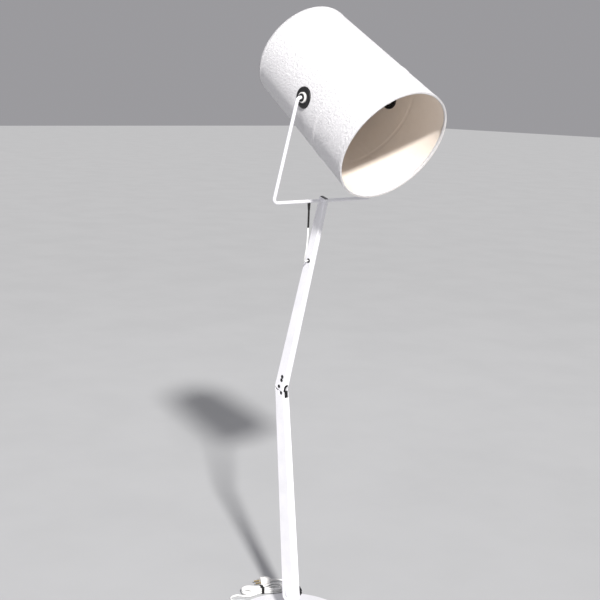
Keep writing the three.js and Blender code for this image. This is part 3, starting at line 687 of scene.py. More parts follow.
def stitch_tree(material: bpy.types.Material) -> RepeatTree:
    """Builds the tree that sews stitches along a line.

    Args:
        material: the thread's finish.

    Returns:
        The tree, with the sizes Pitch, Stitch and Thread in metres.
    """
    tree = RepeatTree("stitch_row", {"Pitch": 0.005, "Stitch": 0.0036, "Thread": 0.0005})
    line, pitch, stitch, thread = (tree.start.outputs[i] for i in range(4))
    curve = tree.node("GeometryNodeMeshToCurve", None, {"Mesh": line}).outputs[0]
    stations = tree.node(
        "GeometryNodeCurveToPoints", {"mode": "LENGTH"}, {"Curve": curve, "Length": pitch}
    )
    bead = tree.node(
        "GeometryNodeMeshCylinder",
        None,
        {"Vertices": 6, "Side Segments": 2, "Radius": thread, "Depth": stitch},
    )
    placed = tree.node(
        "GeometryNodeInstanceOnPoints",
        None,
        {
            "Points": stations.outputs["Points"],
            "Instance": bead.outputs["Mesh"],
            "Rotation": stations.outputs["Rotation"],
        },
    )
    tree.close(placed.outputs[0], material)
    return tree


def rivet_tree(material: bpy.types.Material) -> RepeatTree:
    """Builds the tree that sets a low domed rivet head, facing along Y, on each point.

    Args:
        material: the rivets' finish.

    Returns:
        The tree, with the sizes Radius and Height in metres.
    """
    tree = RepeatTree("rivet_heads", {"Radius": 0.006, "Height": 0.0013})
    points, radius, height = (tree.start.outputs[i] for i in range(3))
    ball = tree.node("GeometryNodeMeshUVSphere", None, {"Segments": 24, "Rings": 12, "Radius": 1.0})
    size = tree.node("ShaderNodeCombineXYZ", None, {"X": radius, "Y": height, "Z": radius})
    placed = tree.node(
        "GeometryNodeInstanceOnPoints",
        None,
        {"Points": points, "Instance": ball.outputs["Mesh"], "Scale": size.outputs[0]},
    )
    tree.close(placed.outputs[0], material)
    return tree


def rib_tree(material: bpy.types.Material) -> RepeatTree:
    """Builds the tree that sets ribs along a straight strain relief.

    Args:
        material: the ribs' finish.

    Returns:
        The tree, with the sizes Pitch in metres, Start and End, the radii at its two ends in
        metres, and Rib, a rib's thickness as a share of its radius.
    """
    tree = RepeatTree("relief_ribs", {"Pitch": 0.004, "Start": 0.005, "End": 0.004, "Rib": 0.16})
    line, pitch, start, end, rib = (tree.start.outputs[i] for i in range(5))
    curve = tree.node("GeometryNodeMeshToCurve", None, {"Mesh": line}).outputs[0]
    share = tree.node("GeometryNodeSplineParameter")
    kept = tree.node(
        "GeometryNodeCaptureAttribute", {"domain": "POINT"}, {"Geometry": curve}
    )
    kept.capture_items.new("FLOAT", "Share")
    tree.tree.links.new(share.outputs["Factor"], kept.inputs[1])
    stations = tree.node(
        "GeometryNodeCurveToPoints", {"mode": "LENGTH"}, {"Curve": kept.outputs[0], "Length": pitch}
    )
    ring = tree.node("GeometryNodeCurvePrimitiveCircle", None, {"Resolution": 28, "Radius": 1.0})
    section = tree.node("GeometryNodeCurvePrimitiveCircle", None, {"Resolution": 8, "Radius": rib})
    reach = tree.node(
        "ShaderNodeMapRange", None, {"Value": kept.outputs[1], "To Min": start, "To Max": end}
    )
    solid = tree.node(
        "GeometryNodeCurveToMesh", None, {"Curve": ring.outputs[0], "Profile Curve": section.outputs[0]}
    )
    placed = tree.node(
        "GeometryNodeInstanceOnPoints",
        None,
        {
            "Points": stations.outputs["Points"],
            "Instance": solid.outputs[0],
            "Rotation": stations.outputs["Rotation"],
            "Scale": reach.outputs[0],
        },
    )
    tree.close(placed.outputs[0], material)
    return tree


def add_ribs(
    name: str,
    ends: Sequence[Vector],
    sizes: dict[str, float],
    body: str,
    finishes: Finishes,
    slot: str,
) -> bpy.types.Object:
    """Sets ribs along a strain relief and rides them on its body.

    Args:
        name: the piece's name.
        ends: the two ends of the ribbed stretch, in metres.
        sizes: the rib tree's sizes.
        body: the body's name.
        finishes: the lamp's finishes.
        slot: the name of the ribs' finish.

    Returns:
        The ribs.
    """
    made = rib_tree(finishes[slot]).bake(outline_loop(f"{name}_line", ends, False), name, sizes)
    attach(made, body)
    return made


# ---- Where things are --------------------------------------------------------------------------


@dataclass
class Places:
    """The joints of the lamp and the frames of its arms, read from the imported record."""

    foot: Vector
    knee: Vector
    bar: Vector
    pivot: Vector
    dip: float = 33.0

    @classmethod
    def read(cls, record: dict) -> "Places":
        """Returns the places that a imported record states."""
        joints = {joint["name"]: joint for joint in record["behaviour"]["joints"]}
        names = ("base_tilt", "knee_bend", "fork_tilt", "shade_tilt")
        return cls(*(Vector(joints[name]["pos_m"]) for name in names))

    def between(self, low: Vector, high: Vector) -> Matrix:
        """Returns the frame at one joint whose Z points at the next."""
        step = high - low
        return frame_matrix(low, math.degrees(math.atan2(step.x, step.z)))

    @property
    def lower_arm(self) -> Matrix:
        """The lower arm's frame."""
        return self.between(self.foot, self.knee)

    @property
    def upper_arm(self) -> Matrix:
        """The upper arm's frame."""
        return self.between(self.knee, self.bar)

    @property
    def fork(self) -> Matrix:
        """The fork's frame."""
        return self.between(self.bar, self.pivot)

    @property
    def shade(self) -> Matrix:
        """The shade's frame, whose Z runs out of its mouth."""
        return frame_matrix(self.pivot, 90 + self.dip)


FACING_NEAR = Matrix.Rotation(math.pi / 2, 4, "X")
FACING_FAR = Matrix.Rotation(-math.pi / 2, 4, "X")


def dress(piece: bpy.types.Object, *materials: bpy.types.Material) -> None:
    """Gives a piece its materials, in the order of its slots."""
    piece.data.materials.clear()
    for material in materials:
        piece.data.materials.append(material)


def attach(piece: bpy.types.Object, body: str, replaced: Iterable[str] = ()) -> None:
    """Rides a finished piece on its body.

    Args:
        piece: the piece.
        body: the body's name.
        replaced: the CAD nodes that it stands for.
    """
    nodes = list(replaced)
    if nodes:
        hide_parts(*nodes)
    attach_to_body(piece, body)
    LOG.info("%s rides on %s, %d faces", piece.name, body, len(getattr(piece.data, "polygons", [])))


def outline_loop(name: str, points: Sequence[Vector], closed: bool) -> bpy.types.Object:
    """Makes a line of edges, in metres, for a repeat to follow."""
    mesh = bpy.data.meshes.new(name)
    edges = [(i, i + 1) for i in range(len(points) - 1)]
    if closed:
        edges.append((len(points) - 1, 0))
    mesh.from_pydata(list(points), edges, [])
    return linked(name, mesh)


# ---- Camera, light and floor ---------------------------------------------------------------------


@dataclass
class Studio:
    """The camera at the viewing angle, a pale floor and soft lights."""

    position: Vector = field(default_factory=lambda: Vector((2.6605, -2.2529, 1.7325)))
    heading: Vector = field(default_factory=lambda: Vector((-0.762, 0.647, 0)))
    pitch: float = 10.55
    roll: float = 1.49
    lens: float = 67.8
    key_from: Vector = field(default_factory=lambda: Vector((0.741, -0.395, 0.543)))
    centre: Vector = field(default_factory=lambda: Vector((0.15, 0, 1.45)))
    key_energy: float = 4.9
    key_angle: float = 4.5
    key_tone: tuple[float, float, float] = (1.0, 0.985, 0.97)
    fill_away: float = 4.5
    sky_tone: tuple[float, float, float] = (0.82, 0.81, 0.85)
    sky_strength: float = 0.40
    floor_side: float = 40000

    def camera(self) -> None:
        """Makes the camera and looks through it."""
        pitch, roll = math.radians(self.pitch), math.radians(self.roll)
        level = self.heading.normalized()
        ahead = level * math.cos(pitch) - Vector((0, 0, math.sin(pitch)))
        right = level.cross(Vector((0, 0, 1))).normalized()
        above = right.cross(ahead)
        turned_right = right * math.cos(roll) + above * math.sin(roll)
        turned_up = above * math.cos(roll) - right * math.sin(roll)
        data = bpy.data.cameras.new("camera")
        data.lens, data.sensor_width, data.sensor_fit = self.lens, 36.0, "HORIZONTAL"
        data.clip_end = 200.0
        made = linked("camera", data)
        columns = Matrix((turned_right, turned_up, -ahead)).transposed().to_4x4()
        made.matrix_world = Matrix.Translation(self.position) @ columns
        bpy.context.scene.camera = made

    def area(
        self, name: str, towards: Vector, away: float, size: float, power: float, tone: Point
    ) -> None:
        """Adds one square light that faces the lamp.

        Args:
            name: the light's name.
            towards: the direction from the lamp to the light.
            away: how far off it stands in metres.
            size: the side of the square in metres.
            power: its power in watts.
            tone: its colour.
        """
        data = bpy.data.lights.new(name, "AREA")
        data.shape, data.size, data.energy, data.color = "SQUARE", size, power, tone
        made = linked(name, data)
        made.location = self.centre + towards.normalized() * away
        made.rotation_euler = towards.to_track_quat("Z", "Y").to_euler()

    def lights(self) -> None:
        """Adds the distant key light, two soft fills and the sky of the studio."""
        data = bpy.data.lights.new("key", "SUN")
        data.energy, data.color = self.key_energy, self.key_tone
        data.angle = math.radians(self.key_angle)
        made = linked("key", data)
        made.rotation_euler = self.key_from.to_track_quat("Z", "Y").to_euler()
        front, back = Vector((0.35, -1.0, 0.75)), Vector((-0.7, 0.7, 0.9))
        self.area("front_fill", front, self.fill_away, 2.4, 42.0, (0.95, 0.94, 1.0))
        self.area("back_fill", back, self.fill_away, 3.0, 18.0, (0.95, 0.96, 1.0))
        world = bpy.data.worlds.new("studio")
        world.use_nodes = True
        sky = world.node_tree.nodes["Background"]
        sky.inputs["Color"].default_value = (*self.sky_tone, 1)
        sky.inputs["Strength"].default_value = self.sky_strength
        bpy.context.scene.world = world
        bpy.context.scene.view_settings.view_transform = "Standard"

    def floor(self) -> None:
        """Lays the pale floor."""
        side = self.floor_side
        corners = [(-side, -side, 0), (side, -side, 0), (side, side, 0), (-side, side, 0)]
        made = make_object("floor", corners, [(0, 1, 2, 3)], smooth=False)
        finish = Surface(
            "floor", (0.47, 0.475, 0.48), (0.44, 0.445, 0.45), 0.85, 0.05, grain=0.004, patch=0.5,
        )
        dress(made, finish.build())


# ---- Mains cord --------------------------------------------------------------------------------


@dataclass
class MainsCord:
    """The white mains cord: along the base, round its hank and into its plug."""

    finishes: Finishes
    radius: float = 3.0
    centre: tuple[float, float] = (-228.0, 60.0)
    turn: float = 69.0
    hank_radius: float = 24.0
    hank_run: float = 96.0
    waist: float = 9.2
    tie_half: float = 6.0
    strand: float = 6.15
    low: float = 4.3
    layer: float = 6.5
    plug_start: float = 74.0
    plug_side: float = 50.0
    plug_radius: float = 17.0
    start: tuple[Point, ...] = (
        (-50.7, 0, 27), (-62, -0.6, 26.6), (-84, -4, 22.5), (-108, -11, 17), (-134, -21, 14.6),
        (-160, -33, 14.5), (-184, -45, 14.5), (-204, -55, 11.6), (-222, -62.5, 6),
        (-238, -64, 3.4), (-253, -57, 3.1), (-259, -42, 3.1), (-256, -26, 3.4),
    )

    def hank_point(self, u: float, v: float, z: float) -> Vector:
        """Returns a point of the hank's own plan in the lamp's frame."""
        angle = math.radians(self.turn)
        x = self.centre[0] + math.cos(angle) * u - math.sin(angle) * v
        y = self.centre[1] + math.sin(angle) * u + math.cos(angle) * v
        return Vector((x, y, z))

    def outer_point(self, t: float) -> Vector:
        """Returns a point of the hank's outer turn.

        Args:
            t: how far round, where each quarter is a run or an end.

        Returns:
            The point (u, v).
        """
        quarter, share = divmod((t % 1.0) * 4, 1)
        half = self.hank_run / 2
        if quarter in (0, 2):
            sign = -1 if quarter == 0 else 1
            u = -sign * (share - 0.5) * self.hank_run
            beyond = max(abs(u) - self.tie_half, 0) / (half - self.tie_half)
            v = self.waist + (self.hank_radius - self.waist) * (1 - math.cos(math.pi * beyond)) / 2
            return Vector((u, sign * v))
        end = 1 if quarter == 1 else -1
        angle = math.radians((-90 if end > 0 else 90) + 180 * share)
        u = end * half + self.hank_radius * math.cos(angle)
        return Vector((u, self.hank_radius * math.sin(angle)))

    def turns(self) -> list[Vector]:
        """Returns the hank's turns: two nested loops on each layer, five times round."""
        steps = 32

        def ramp(t: float, start: float, end: float) -> float:
            """Returns a smooth rise from 0 at the start to 1 at the end."""
            x = min(max((t - start) / (end - start), 0.0), 1.0)
            return x * x * (3 - 2 * x)

        points = []
        for i in range(int(5.25 * steps) + 1):
            t = i / steps
            inward = ramp(t, 0.77, 0.99) - ramp(t, 2.52, 2.69)
            height = ramp(t, 1.66, 1.78) + ramp(t, 3.27, 3.49)
            here = self.outer_point(t)
            along = self.outer_point(t + 0.004) - self.outer_point(t - 0.004)
            outward = Vector((along.y, -along.x)).normalized()
            here -= outward * inward * self.strand
            points.append(self.hank_point(here.x, here.y, self.low + self.layer * height))
        return points

    def tail(self) -> list[Vector]:
        """Returns the stretch from the hank's top layer to the plug."""
        high = self.low + 2 * self.layer
        u0, side = self.hank_run / 2, -self.hank_radius
        radius = (self.plug_side + self.hank_radius) / 2
        drop = (10.5, 7.5, 5, 3.5, 3.1, 3.1, 4.6, 7.6, 11.2, 14.4)
        points = [
            self.hank_point(u0 + 10, side, high - 0.3),
            self.hank_point(u0 + 24, side, high - 2.6),
        ]
        for i, z in enumerate(drop):
            angle = math.radians(270 + 180 * i / (len(drop) - 1))
            u = self.plug_start + 10 + radius * math.cos(angle)
            points.append(self.hank_point(u, self.plug_side - radius + radius * math.sin(angle), z))
        points.append(self.hank_point(self.plug_start - 1, self.plug_side, self.plug_radius))
        return points

    def lay(self) -> None:
        route = [*smooth_path(self.start, 3)[:-1]]
        entry = [self.start[-1], self.hank_point(-self.hank_run / 2 - 14, -self.hank_radius, self.low)]
        turns = self.turns()
        route += smooth_path([*entry, turns[0]], 3)[:-1]
        route += turns
        route += smooth_path([turns[-1], *self.tail()], 3)[1:]
        length = sum((b - a).length for a, b in zip(route, route[1:]))
        cord = sweep("mains_cord", route, self.radius, 10)
        dress(cord, self.finishes["white_cord"])
        attach(cord, "base", ("mains_cord_run", "mains_cord_hank", "mains_cord_tail"))
        plug = self.plug()
        tuple(route[0] * MM)
        2 * self.radius * MM
        [tuple(point * MM) for point in route]
        LOG.info("the mains cord is %.3f m long", length * MM)

    def plug(self) -> list[bpy.types.Object]:
        """Makes the moulded plug with its ribbed relief, and returns its pieces."""
        origin = self.hank_point(self.plug_start, self.plug_side, self.plug_radius) * MM
        turn = Matrix.Rotation(math.radians(self.turn), 4, "Z")
        turn = turn @ Matrix.Rotation(-math.pi / 2, 4, "Y")
        place = Matrix.Translation(origin) @ turn
        outline = [
            (0, 0), (3.4, 0), (4.6, 22), (7.5, 26), (13, 32), (16.5, 44), (16.5, 64), (14.5, 66),
            (0, 66),
        ]

        def grip(angle: float, radius: float, height: float) -> float:
            """Returns the radius with two ribbed flats for the fingers."""
            flat = max(0.0, abs(math.cos(angle)) - 0.72) * 9 if 33 < height < 62 else 0.0
            return radius - flat * (0.5 + 0.5 * math.sin(height * 1.6))

        body = lathe("plug_moulding", self.subdivided(rounded(outline, 3)), place, 64, grip)
        dress(body, self.finishes["white_plastic"])
        attach(body, "base", ("plug_body",))
        ends = [place @ Vector((0, 0, z * MM)) for z in (3, 21)]
        sizes = {"Pitch": 0.0036, "Start": 0.0036, "End": 0.0047, "Rib": 0.17}
        ribs = add_ribs("plug_ribs", ends, sizes, "base", self.finishes, "white_plastic")
        return [body, ribs]

    @staticmethod
    def subdivided(outline: Sequence[Point]) -> list[tuple[float, float]]:
        """Adds points every 2 mm or so along an outline."""
        out: list[tuple[float, float]] = []
        for a, b in zip(outline, outline[1:]):
            a, b = Vector(a), Vector(b)
            count = max(1, int((b - a).length / 2.2))
            out += [tuple(a.lerp(b, i / count)) for i in range(count)]
        return [*out, tuple(outline[-1])]


# ---- Base --------------------------------------------------------------------------------------


@dataclass
class Base:
    """The round plate, its gland and the clamp knob at the foot."""

    finishes: Finishes
    places: Places
    radius: float = 190.0
    foot: float = 2.3
    top: float = 11.3
    recess: float = 16.0
    hole: float = 6.3
    gland_start: float = -18.3
    gland_height: float = 27.0
    gland_length: float = 32.0
    knob_radius: float = 17.5
    knob_inner: float = 15.0
    knob_outer: float = 34.0
    knob_flutes: int = 8

    def plate(self) -> None:
        """Makes the turned steel plate."""
        outline = [
            (self.recess, self.foot), (self.radius, self.foot), (self.radius, self.top),
            (self.hole, self.top), (self.hole, self.foot + 6.3), (self.recess, self.foot + 6.3),
            (self.recess, self.foot),
        ]
        plate = lathe("base_disc", rounded(outline, 1.6, 5)[:-1], Matrix.Identity(4), 180)
        dress(plate, self.finishes["white_paint"])
        attach(plate, "base", ("base_plate",))

    def gland(self) -> None:
        """Makes the ribbed strain relief behind the post."""
        turn = Matrix.Rotation(-math.pi / 2, 4, "Y")
        place = Matrix.Translation(Vector((self.gland_start, 0, self.gland_height)) * MM) @ turn
        outline = [
            (3.3, -8), (4.9, -8), (4.9, 0), (7, 0), (7, 3), (5.6, 4), (4.2, self.gland_length),
            (3.3, self.gland_length), (3.3, -8),
        ]
        boot = lathe("cord_relief", rounded(outline, 0.6, 3)[:-1], place, 40)
        dress(boot, self.finishes["white_plastic"])
        attach(boot, "base", ("mains_gland",))
        ends = [place @ Vector((0, 0, z * MM)) for z in (6, self.gland_length - 2)]
        sizes = {"Pitch": 0.0035, "Start": 0.0050, "End": 0.0039, "Rib": 0.17}
        add_ribs("cord_relief_ribs", ends, sizes, "base", self.finishes, "white_plastic")

    def knob(self) -> None:
        """Makes the fluted hand knob that clamps the foot joint."""
        place = self.places.lower_arm @ FACING_FAR
        inner, outer, radius = self.knob_inner, self.knob_outer, self.knob_radius
        outline = [
            (6.3, inner), (9, inner), (11, inner + 4), (radius, inner + 6), (radius, outer),
            (radius * 0.55, outer + 0.6), (0, outer + 0.2),
        ]

        def flute(angle: float, r: float, height: float) -> float:
            """Returns the radius with the knob's flutes cut into its rim."""
            if r < radius * 0.7 or height < inner + 5:
                return r
            wave = max(0.0, math.cos(self.knob_flutes * angle)) ** 1.5
            return r - 2.0 * wave * min(1.0, (height - inner - 5) / 2)

        bore = [(0, outer - 5.6), (6.3, outer - 5.6), (6.3, inner + 0.4)]
        shape = rounded(outline, 2.2, 5) + bore
        shape[0] = (6.3, inner)
        knob = lathe("clamp_knob", self.closed_on_axis(shape), place, 96, flute)
        dress(knob, self.finishes["black_plastic"])
        attach(knob, "foot_knob", ("foot_knob",))

    @staticmethod
    def closed_on_axis(shape: Sequence[Point]) -> list[Point]:
        """Starts an outline at its inner point on the axis, so that it ends at its outer one."""
        split = next(i for i, p in enumerate(shape) if abs(p[0]) < 1e-6) + 1
        return [*shape[split:], *shape[:split]]

    def build(self) -> None:
        """Makes every piece of the base that the CAD leaves plain."""
        self.plate()
        self.gland()
        self.knob()


# ---- Knee --------------------------------------------------------------------------------------


@dataclass
class Knee:
    """The domed heads of the knee's pin and rivets."""

    finishes: Finishes
    places: Places
    rivet_side: float = 5.0
    upper_rivets: tuple[float, float] = (25.5, 38.0)
    lower_rivet: float = -21.0
    lower_length: float = 692.8
    upper_face: float = 11.2
    liner_face: float = 8.6
    head: float = 0.0062
    dome: float = 0.0014
    low_dome: float = 0.00008

    def build(self) -> None:
        """Sets the heads on both sides of each arm."""
        tree = rivet_tree(self.finishes["black_steel"])
        upper = [(0.0, 0.0), *((self.rivet_side, z) for z in self.upper_rivets)]
        lower = [(self.rivet_side, self.lower_length + self.lower_rivet)]
        rows = (
            ("upper", "upper_arm", self.places.upper_arm, upper, self.upper_face, self.dome),
            ("lower", "lower_arm", self.places.lower_arm, lower, self.liner_face, self.low_dome),
        )
        for word, body, place, spots, face, dome in rows:
            points = [place @ (Vector((x, y, z)) * MM) for x, z in spots for y in (-face, face)]
            line = outline_loop(f"{word}_rivet_points", points, False)
            heads = tree.bake(line, f"{word}_rivet_heads", {"Radius": self.head, "Height": dome})
            attach(heads, body)


# ---- Fork and the lead below it ------------------------------------------------------------------


@dataclass
class Fork:
    """The bent rod that carries the shade, and the lead that leaves it."""

    finishes: Finishes
    places: Places
    rod: float = 5.2
    half: float = 194.0
    top: float = 190.0
    reach: float = 319.8
    end: float = 136.0
    top_bend: float = 10.0
    foot_bend: float = 16.0
    lead_side: float = -57.0
    lead_radius: float = 2.6
    boot_end: float = 28.0
    sleeve_route: tuple[Point, ...] = (
        (7.9, -57, 613.8), (12.3, -57, 597.8), (16.8, -56.8, 580.5), (20.6, -56.6, 564.6),
    )
    lead_route: tuple[Point, ...] = (
        (20.8, -56.6, 564.2), (24.3, -56.2, 547.8), (27.2, -55.6, 531.1), (29.3, -54.7, 514.6),
        (29.8, -53.3, 497.6), (28.6, -51.3, 481.5), (25.1, -47.7, 464.7), (18, -40.9, 450.8),
        (8, -29, 445.1), (3.9, -19.5, 445.1), (3, -13.2, 445.2), (3, -5.9, 445.2),
    )

    def bent_path(self) -> list[Vector]:
        """Returns the rod's centre line with its four bends."""
        corners = [
            Vector(p) for p in (
                (0, -self.end, self.reach), (0, -self.top, self.reach), (0, -self.half, 0),
                (0, self.half, 0), (0, self.top, self.reach), (0, self.end, self.reach),
            )
        ]
        bends = (self.top_bend, self.foot_bend, self.foot_bend, self.top_bend)
        path = [corners[0], corners[0].lerp(corners[1], 0.5)]
        for before, corner, after, bend in zip(corners, corners[1:], corners[2:], bends):
            start = corner + (before - corner).normalized() * bend
            end = corner + (after - corner).normalized() * bend
            centre = start + end - corner
            for i in range(13):
                angle = math.pi / 2 * i / 12
                across = (end - centre) * math.sin(angle)
                path.append(centre + (start - centre) * math.cos(angle) + across)
        return [*path, corners[-2].lerp(corners[-1], 0.6), corners[-1]]

    def frame(self) -> None:
        """Makes the painted rod."""
        rod = sweep("fork_frame", self.bent_path(), self.rod, 32, self.places.fork)
        dress(rod, self.finishes["white_paint"])
        attach(rod, "fork", ("fork_rod",))

    def boot(self) -> None:
        """Makes the ribbed rubber boot where the lead leaves the bar."""
        place = Matrix.Translation(self.places.bar + Vector((0, self.lead_side * MM, 0)))
        place = place @ Matrix.Rotation(math.pi, 4, "X")
        end = self.boot_end
        outline = [(0, 3), (3, 3), (3, 5.5), (4.8, 5.7), (4.4, 9), (3.0, end), (0, end)]
        boot = lathe("lead_boot", rounded(outline, 0.5, 3), place, 36)
        dress(boot, self.finishes["black_rubber"])
        attach(boot, "fork", ("fork_boot",))
        ends = [place @ Vector((0, 0, z * MM)) for z in (10, self.boot_end - 1.5)]
        sizes = {"Pitch": 0.0032, "Start": 0.0041, "End": 0.0030, "Rib": 0.18}
        add_ribs("lead_boot_ribs", ends, sizes, "fork", self.finishes, "black_rubber")

    def lead(self) -> None:
        """Makes the lead and its black sleeve between the upper arm and the fork."""
        place = self.places.upper_arm
        top = place @ (Vector(self.sleeve_route[0]) * MM)
        low = place @ (Vector(self.lead_route[3]) * MM)
        parts = (
            ("lead_sleeve", self.sleeve_route, self.lead_radius + 0.35, "black_rubber", "link_sleeve"),
            ("lead_cable", self.lead_route, self.lead_radius, "white_cord", "link_lead"),
        )
        for name, route, radius, finish, node in parts:
            piece = sweep(name, smooth_path(route, 4), radius, 16, place)
            dress(piece, self.finishes[finish])
            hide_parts(node)
            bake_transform(piece)
            LOG.info("%s bends between the upper arm and the fork", name)

    def build(self) -> None:
        """Makes every piece of the fork that the CAD leaves plain."""
        self.frame()
        self.boot()
        self.lead()


# ---- Shade -------------------------------------------------------------------------------------


class Side(Enum):
    """The two pivots of the shade."""

    NEAR = -1
    FAR = 1


@dataclass
class Shade:
    """The canvas drum with its seams, hems, eyelets, bushes and back."""

    finishes: Finishes
    places: Places
    mouth: float = 235.0
    back: float = -240.0
    mouth_radius: float = 180.0
    back_radius: float = 158.5
    wall: float = 1.2
    seam: float = 80.0
    seam_width: float = 9.0
    long_seam: float = 35.0
    eyelet_hole: float = 20.3
    bore: float = 15.6
    around: int = 300
    thread_lift: float = 0.1
    cloth_radius: float = 0.169

    def radius_at(self, z: float) -> float:
        """Returns the cover's outer radius at a height."""
        share = (z - self.back) / (self.mouth - self.back)
        return self.back_radius + share * (self.mouth_radius - self.back_radius)

    def raised(self, angle: float, z: float) -> float:
        """Returns how far seams, hems and slack lift the cloth off its cone.

        Args:
            angle: the angle round the axis.
            z: the height along it.

        Returns:
            The lift in millimetres.
        """

        def band(value: float, low: float, high: float, edge: float = 1.2) -> float:
            """Returns 1 between two limits and 0 outside, with soft edges."""
            rise = min(max((value - low) / edge + 0.5, 0.0), 1.0)
            fall = min(max((high - value) / edge + 0.5, 0.0), 1.0)
            return rise * fall

        gap = math.remainder(angle - math.radians(self.long_seam), 2 * math.pi) * self.radius_at(z)
        lift = 0.7 * band(z, self.seam, self.seam + self.seam_width)
        lift = max(lift, 0.6 * band(gap, -4.5, 4.5, 3.0))
        lift = max(lift, 0.45 * band(z, self.mouth - 9, self.mouth + 9))
        lift = max(lift, 0.45 * band(z, self.back - 9, self.back + 10))
        pucker = math.exp(-abs(z - self.seam - 4) / 11) + math.exp(-(self.mouth - z) / 9)
        lift += 0.10 * pucker * math.sin(61 * angle + 0.6 * math.sin(7 * angle))
        slack = math.sin(math.pi * (z - self.back) / (self.mouth - self.back))
        return lift + 0.35 * slack * (math.sin(3 * angle + 1) + 0.6 * math.sin(5 * angle + 2.2)) - 0.2

    def rows(self) -> list[float]:
        """Returns the heights of the cover's rows, closer together at seams and hems."""
        even = [self.back + i * (self.mouth - self.back) / 56 for i in range(57)]
        edges = [self.seam, self.seam + self.seam_width, self.mouth - 9, self.back + 10]
        close = [edge + shift for edge in edges for shift in (-1.8, -0.6, 0, 0.6, 1.8)]
        kept = [z for z in even if all(abs(z - c) > 1.2 for c in close)]
        return sorted(kept + close)

    def cover(self) -> bpy.types.Object:
        """Makes the cloth cover with its two holes, and returns it."""
        heights, n = self.rows(), self.around
        points, sheet = [], []
        for inside in (False, True):
            for z in heights if not inside else reversed(heights):
                for i in range(n):
                    angle = 2 * math.pi * i / n + math.radians(self.long_seam)
                    lift = self.raised(angle, z)
                    r = self.radius_at(z) + (min(lift, 0.3) - self.wall if inside else lift)
                    points.append(circle_point(r, angle, z))
                    sheet.append((2 * math.pi * i / n * self.cloth_radius, z * MM))
        faces, inner = [], []
        total = 2 * len(heights)
        for row in range(total):
            for i in range(n):
                j, up = (i + 1) % n, (row + 1) % total
                faces.append((row * n + i, row * n + j, up * n + j, up * n + i))
                inner.append(row >= len(heights))
        made = make_object("shade_cover", points, faces, self.places.shade, lambda v: sheet[v])
        layer = made.data.uv_layers[0].data
        for face in made.data.polygons:
            wrapped = [loop for loop in face.loop_indices if layer[loop].uv.x < 0.02]
            if len(wrapped) < face.loop_total and any(layer[k].uv.x > 0.5 for k in face.loop_indices):
                for loop in wrapped:
                    layer[loop].uv.x += 2 * math.pi * self.cloth_radius
        dress(made, self.finishes["canvas"], self.finishes["lining"])
        made.data.polygons.foreach_set("material_index", [int(flag) for flag in inner])
        return self.punched(made)

    def punched(self, cover: bpy.types.Object) -> bpy.types.Object:
        """Cuts the two eyelet holes through the cover, and returns it."""
        outline = [(0, -220), (self.eyelet_hole, -220), (self.eyelet_hole, 220), (0, 220)]
        cutter = lathe("punch", outline, self.places.shade @ FACING_FAR, 48)
        cut = cover.modifiers.new("holes", "BOOLEAN")
        cut.operation, cut.solver, cut.object = "DIFFERENCE", "EXACT", cutter
        mesh = evaluated(cover, cover.name)
        cover.modifiers.remove(cut)
        cover.data = mesh
        bpy.data.objects.remove(cutter)
        return cover

    def lay_cloth(
        self, piece: bpy.types.Object, chart: Callable[[Vector], tuple[float, float]]
    ) -> None:
        """Gives a canvas piece its cloth coordinates and its finish.

        Args:
            piece: the piece.
            chart: gives the cloth coordinates of a point in the shade's frame.
        """
        layer = piece.data.uv_layers.new(name="cloth")
        inverse = self.places.shade.inverted()
        for loop in piece.data.loops:
            layer.data[loop.index].uv = chart(inverse @ piece.data.vertices[loop.vertex_index].co)
        dress(piece, self.finishes["canvas"])

    def hem(self, name: str, edge: float, inward: float) -> bpy.types.Object:
        """Makes the hem that is folded round a hoop.

        Args:
            name: the piece's name.
            edge: the height of the cover's edge.
            inward: 1 if the cover lies above the edge and -1 if it lies below.

        Returns:
            The hem.
        """
        def at(depth: float, off: float) -> tuple[float, float]:
            """Returns the outline's point at a depth from the edge, set inside the cover."""
            z = edge + inward * depth
            return self.radius_at(z) - self.wall - off, z

        steps = [
            (11, 0.3), (0.6, 0.3), (0.0, 0.9), (-0.2, 2.4), (0.3, 3.9), (2, 4.8), (3.8, 4.9),
            (5.6, 4.2), (7, 2.4), (8.2, 1.4), (11, 1.2),
        ]
        outline = [at(*step) for step in steps]
        if inward > 0:
            outline.reverse()
        made = lathe(name, rounded(outline + outline[:1], 0.5, 2)[:-1], self.places.shade, 220)
        self.lay_cloth(made, lambda p: (math.atan2(p.y, p.x) * 0.17, p.z + p.xy.length))
        return made

    def back_disc(self) -> bpy.types.Object:
        """Makes the cloth-covered disc at the back with its round vent."""
        z0 = self.back + 9
        edge = self.radius_at(self.back + 12) - self.wall - 1.2
        outline = [
            (44.6, z0 + 1), (45.2, z0 - 0.9), (47.5, z0 - 1.1), (49.5, z0), (edge, z0), (edge, z0 + 2),
            (49.5, z0 + 2), (47.5, z0 + 3.1), (45.2, z0 + 2.9), (44.6, z0 + 1),
        ]
        made = lathe("back_disc", rounded(outline, 0.6, 3)[:-1], self.places.shade, 160)
        self.lay_cloth(made, lambda p: (p.x, p.y))
        return made

    def on_cover(self, angle: float, z: float) -> Vector:
        """Returns the point in metres where a stitch lies on the cover."""
        r = self.radius_at(z) + self.raised(angle, z) + self.thread_lift
        return self.places.shade @ (Vector(circle_point(r, angle, z)) * MM)

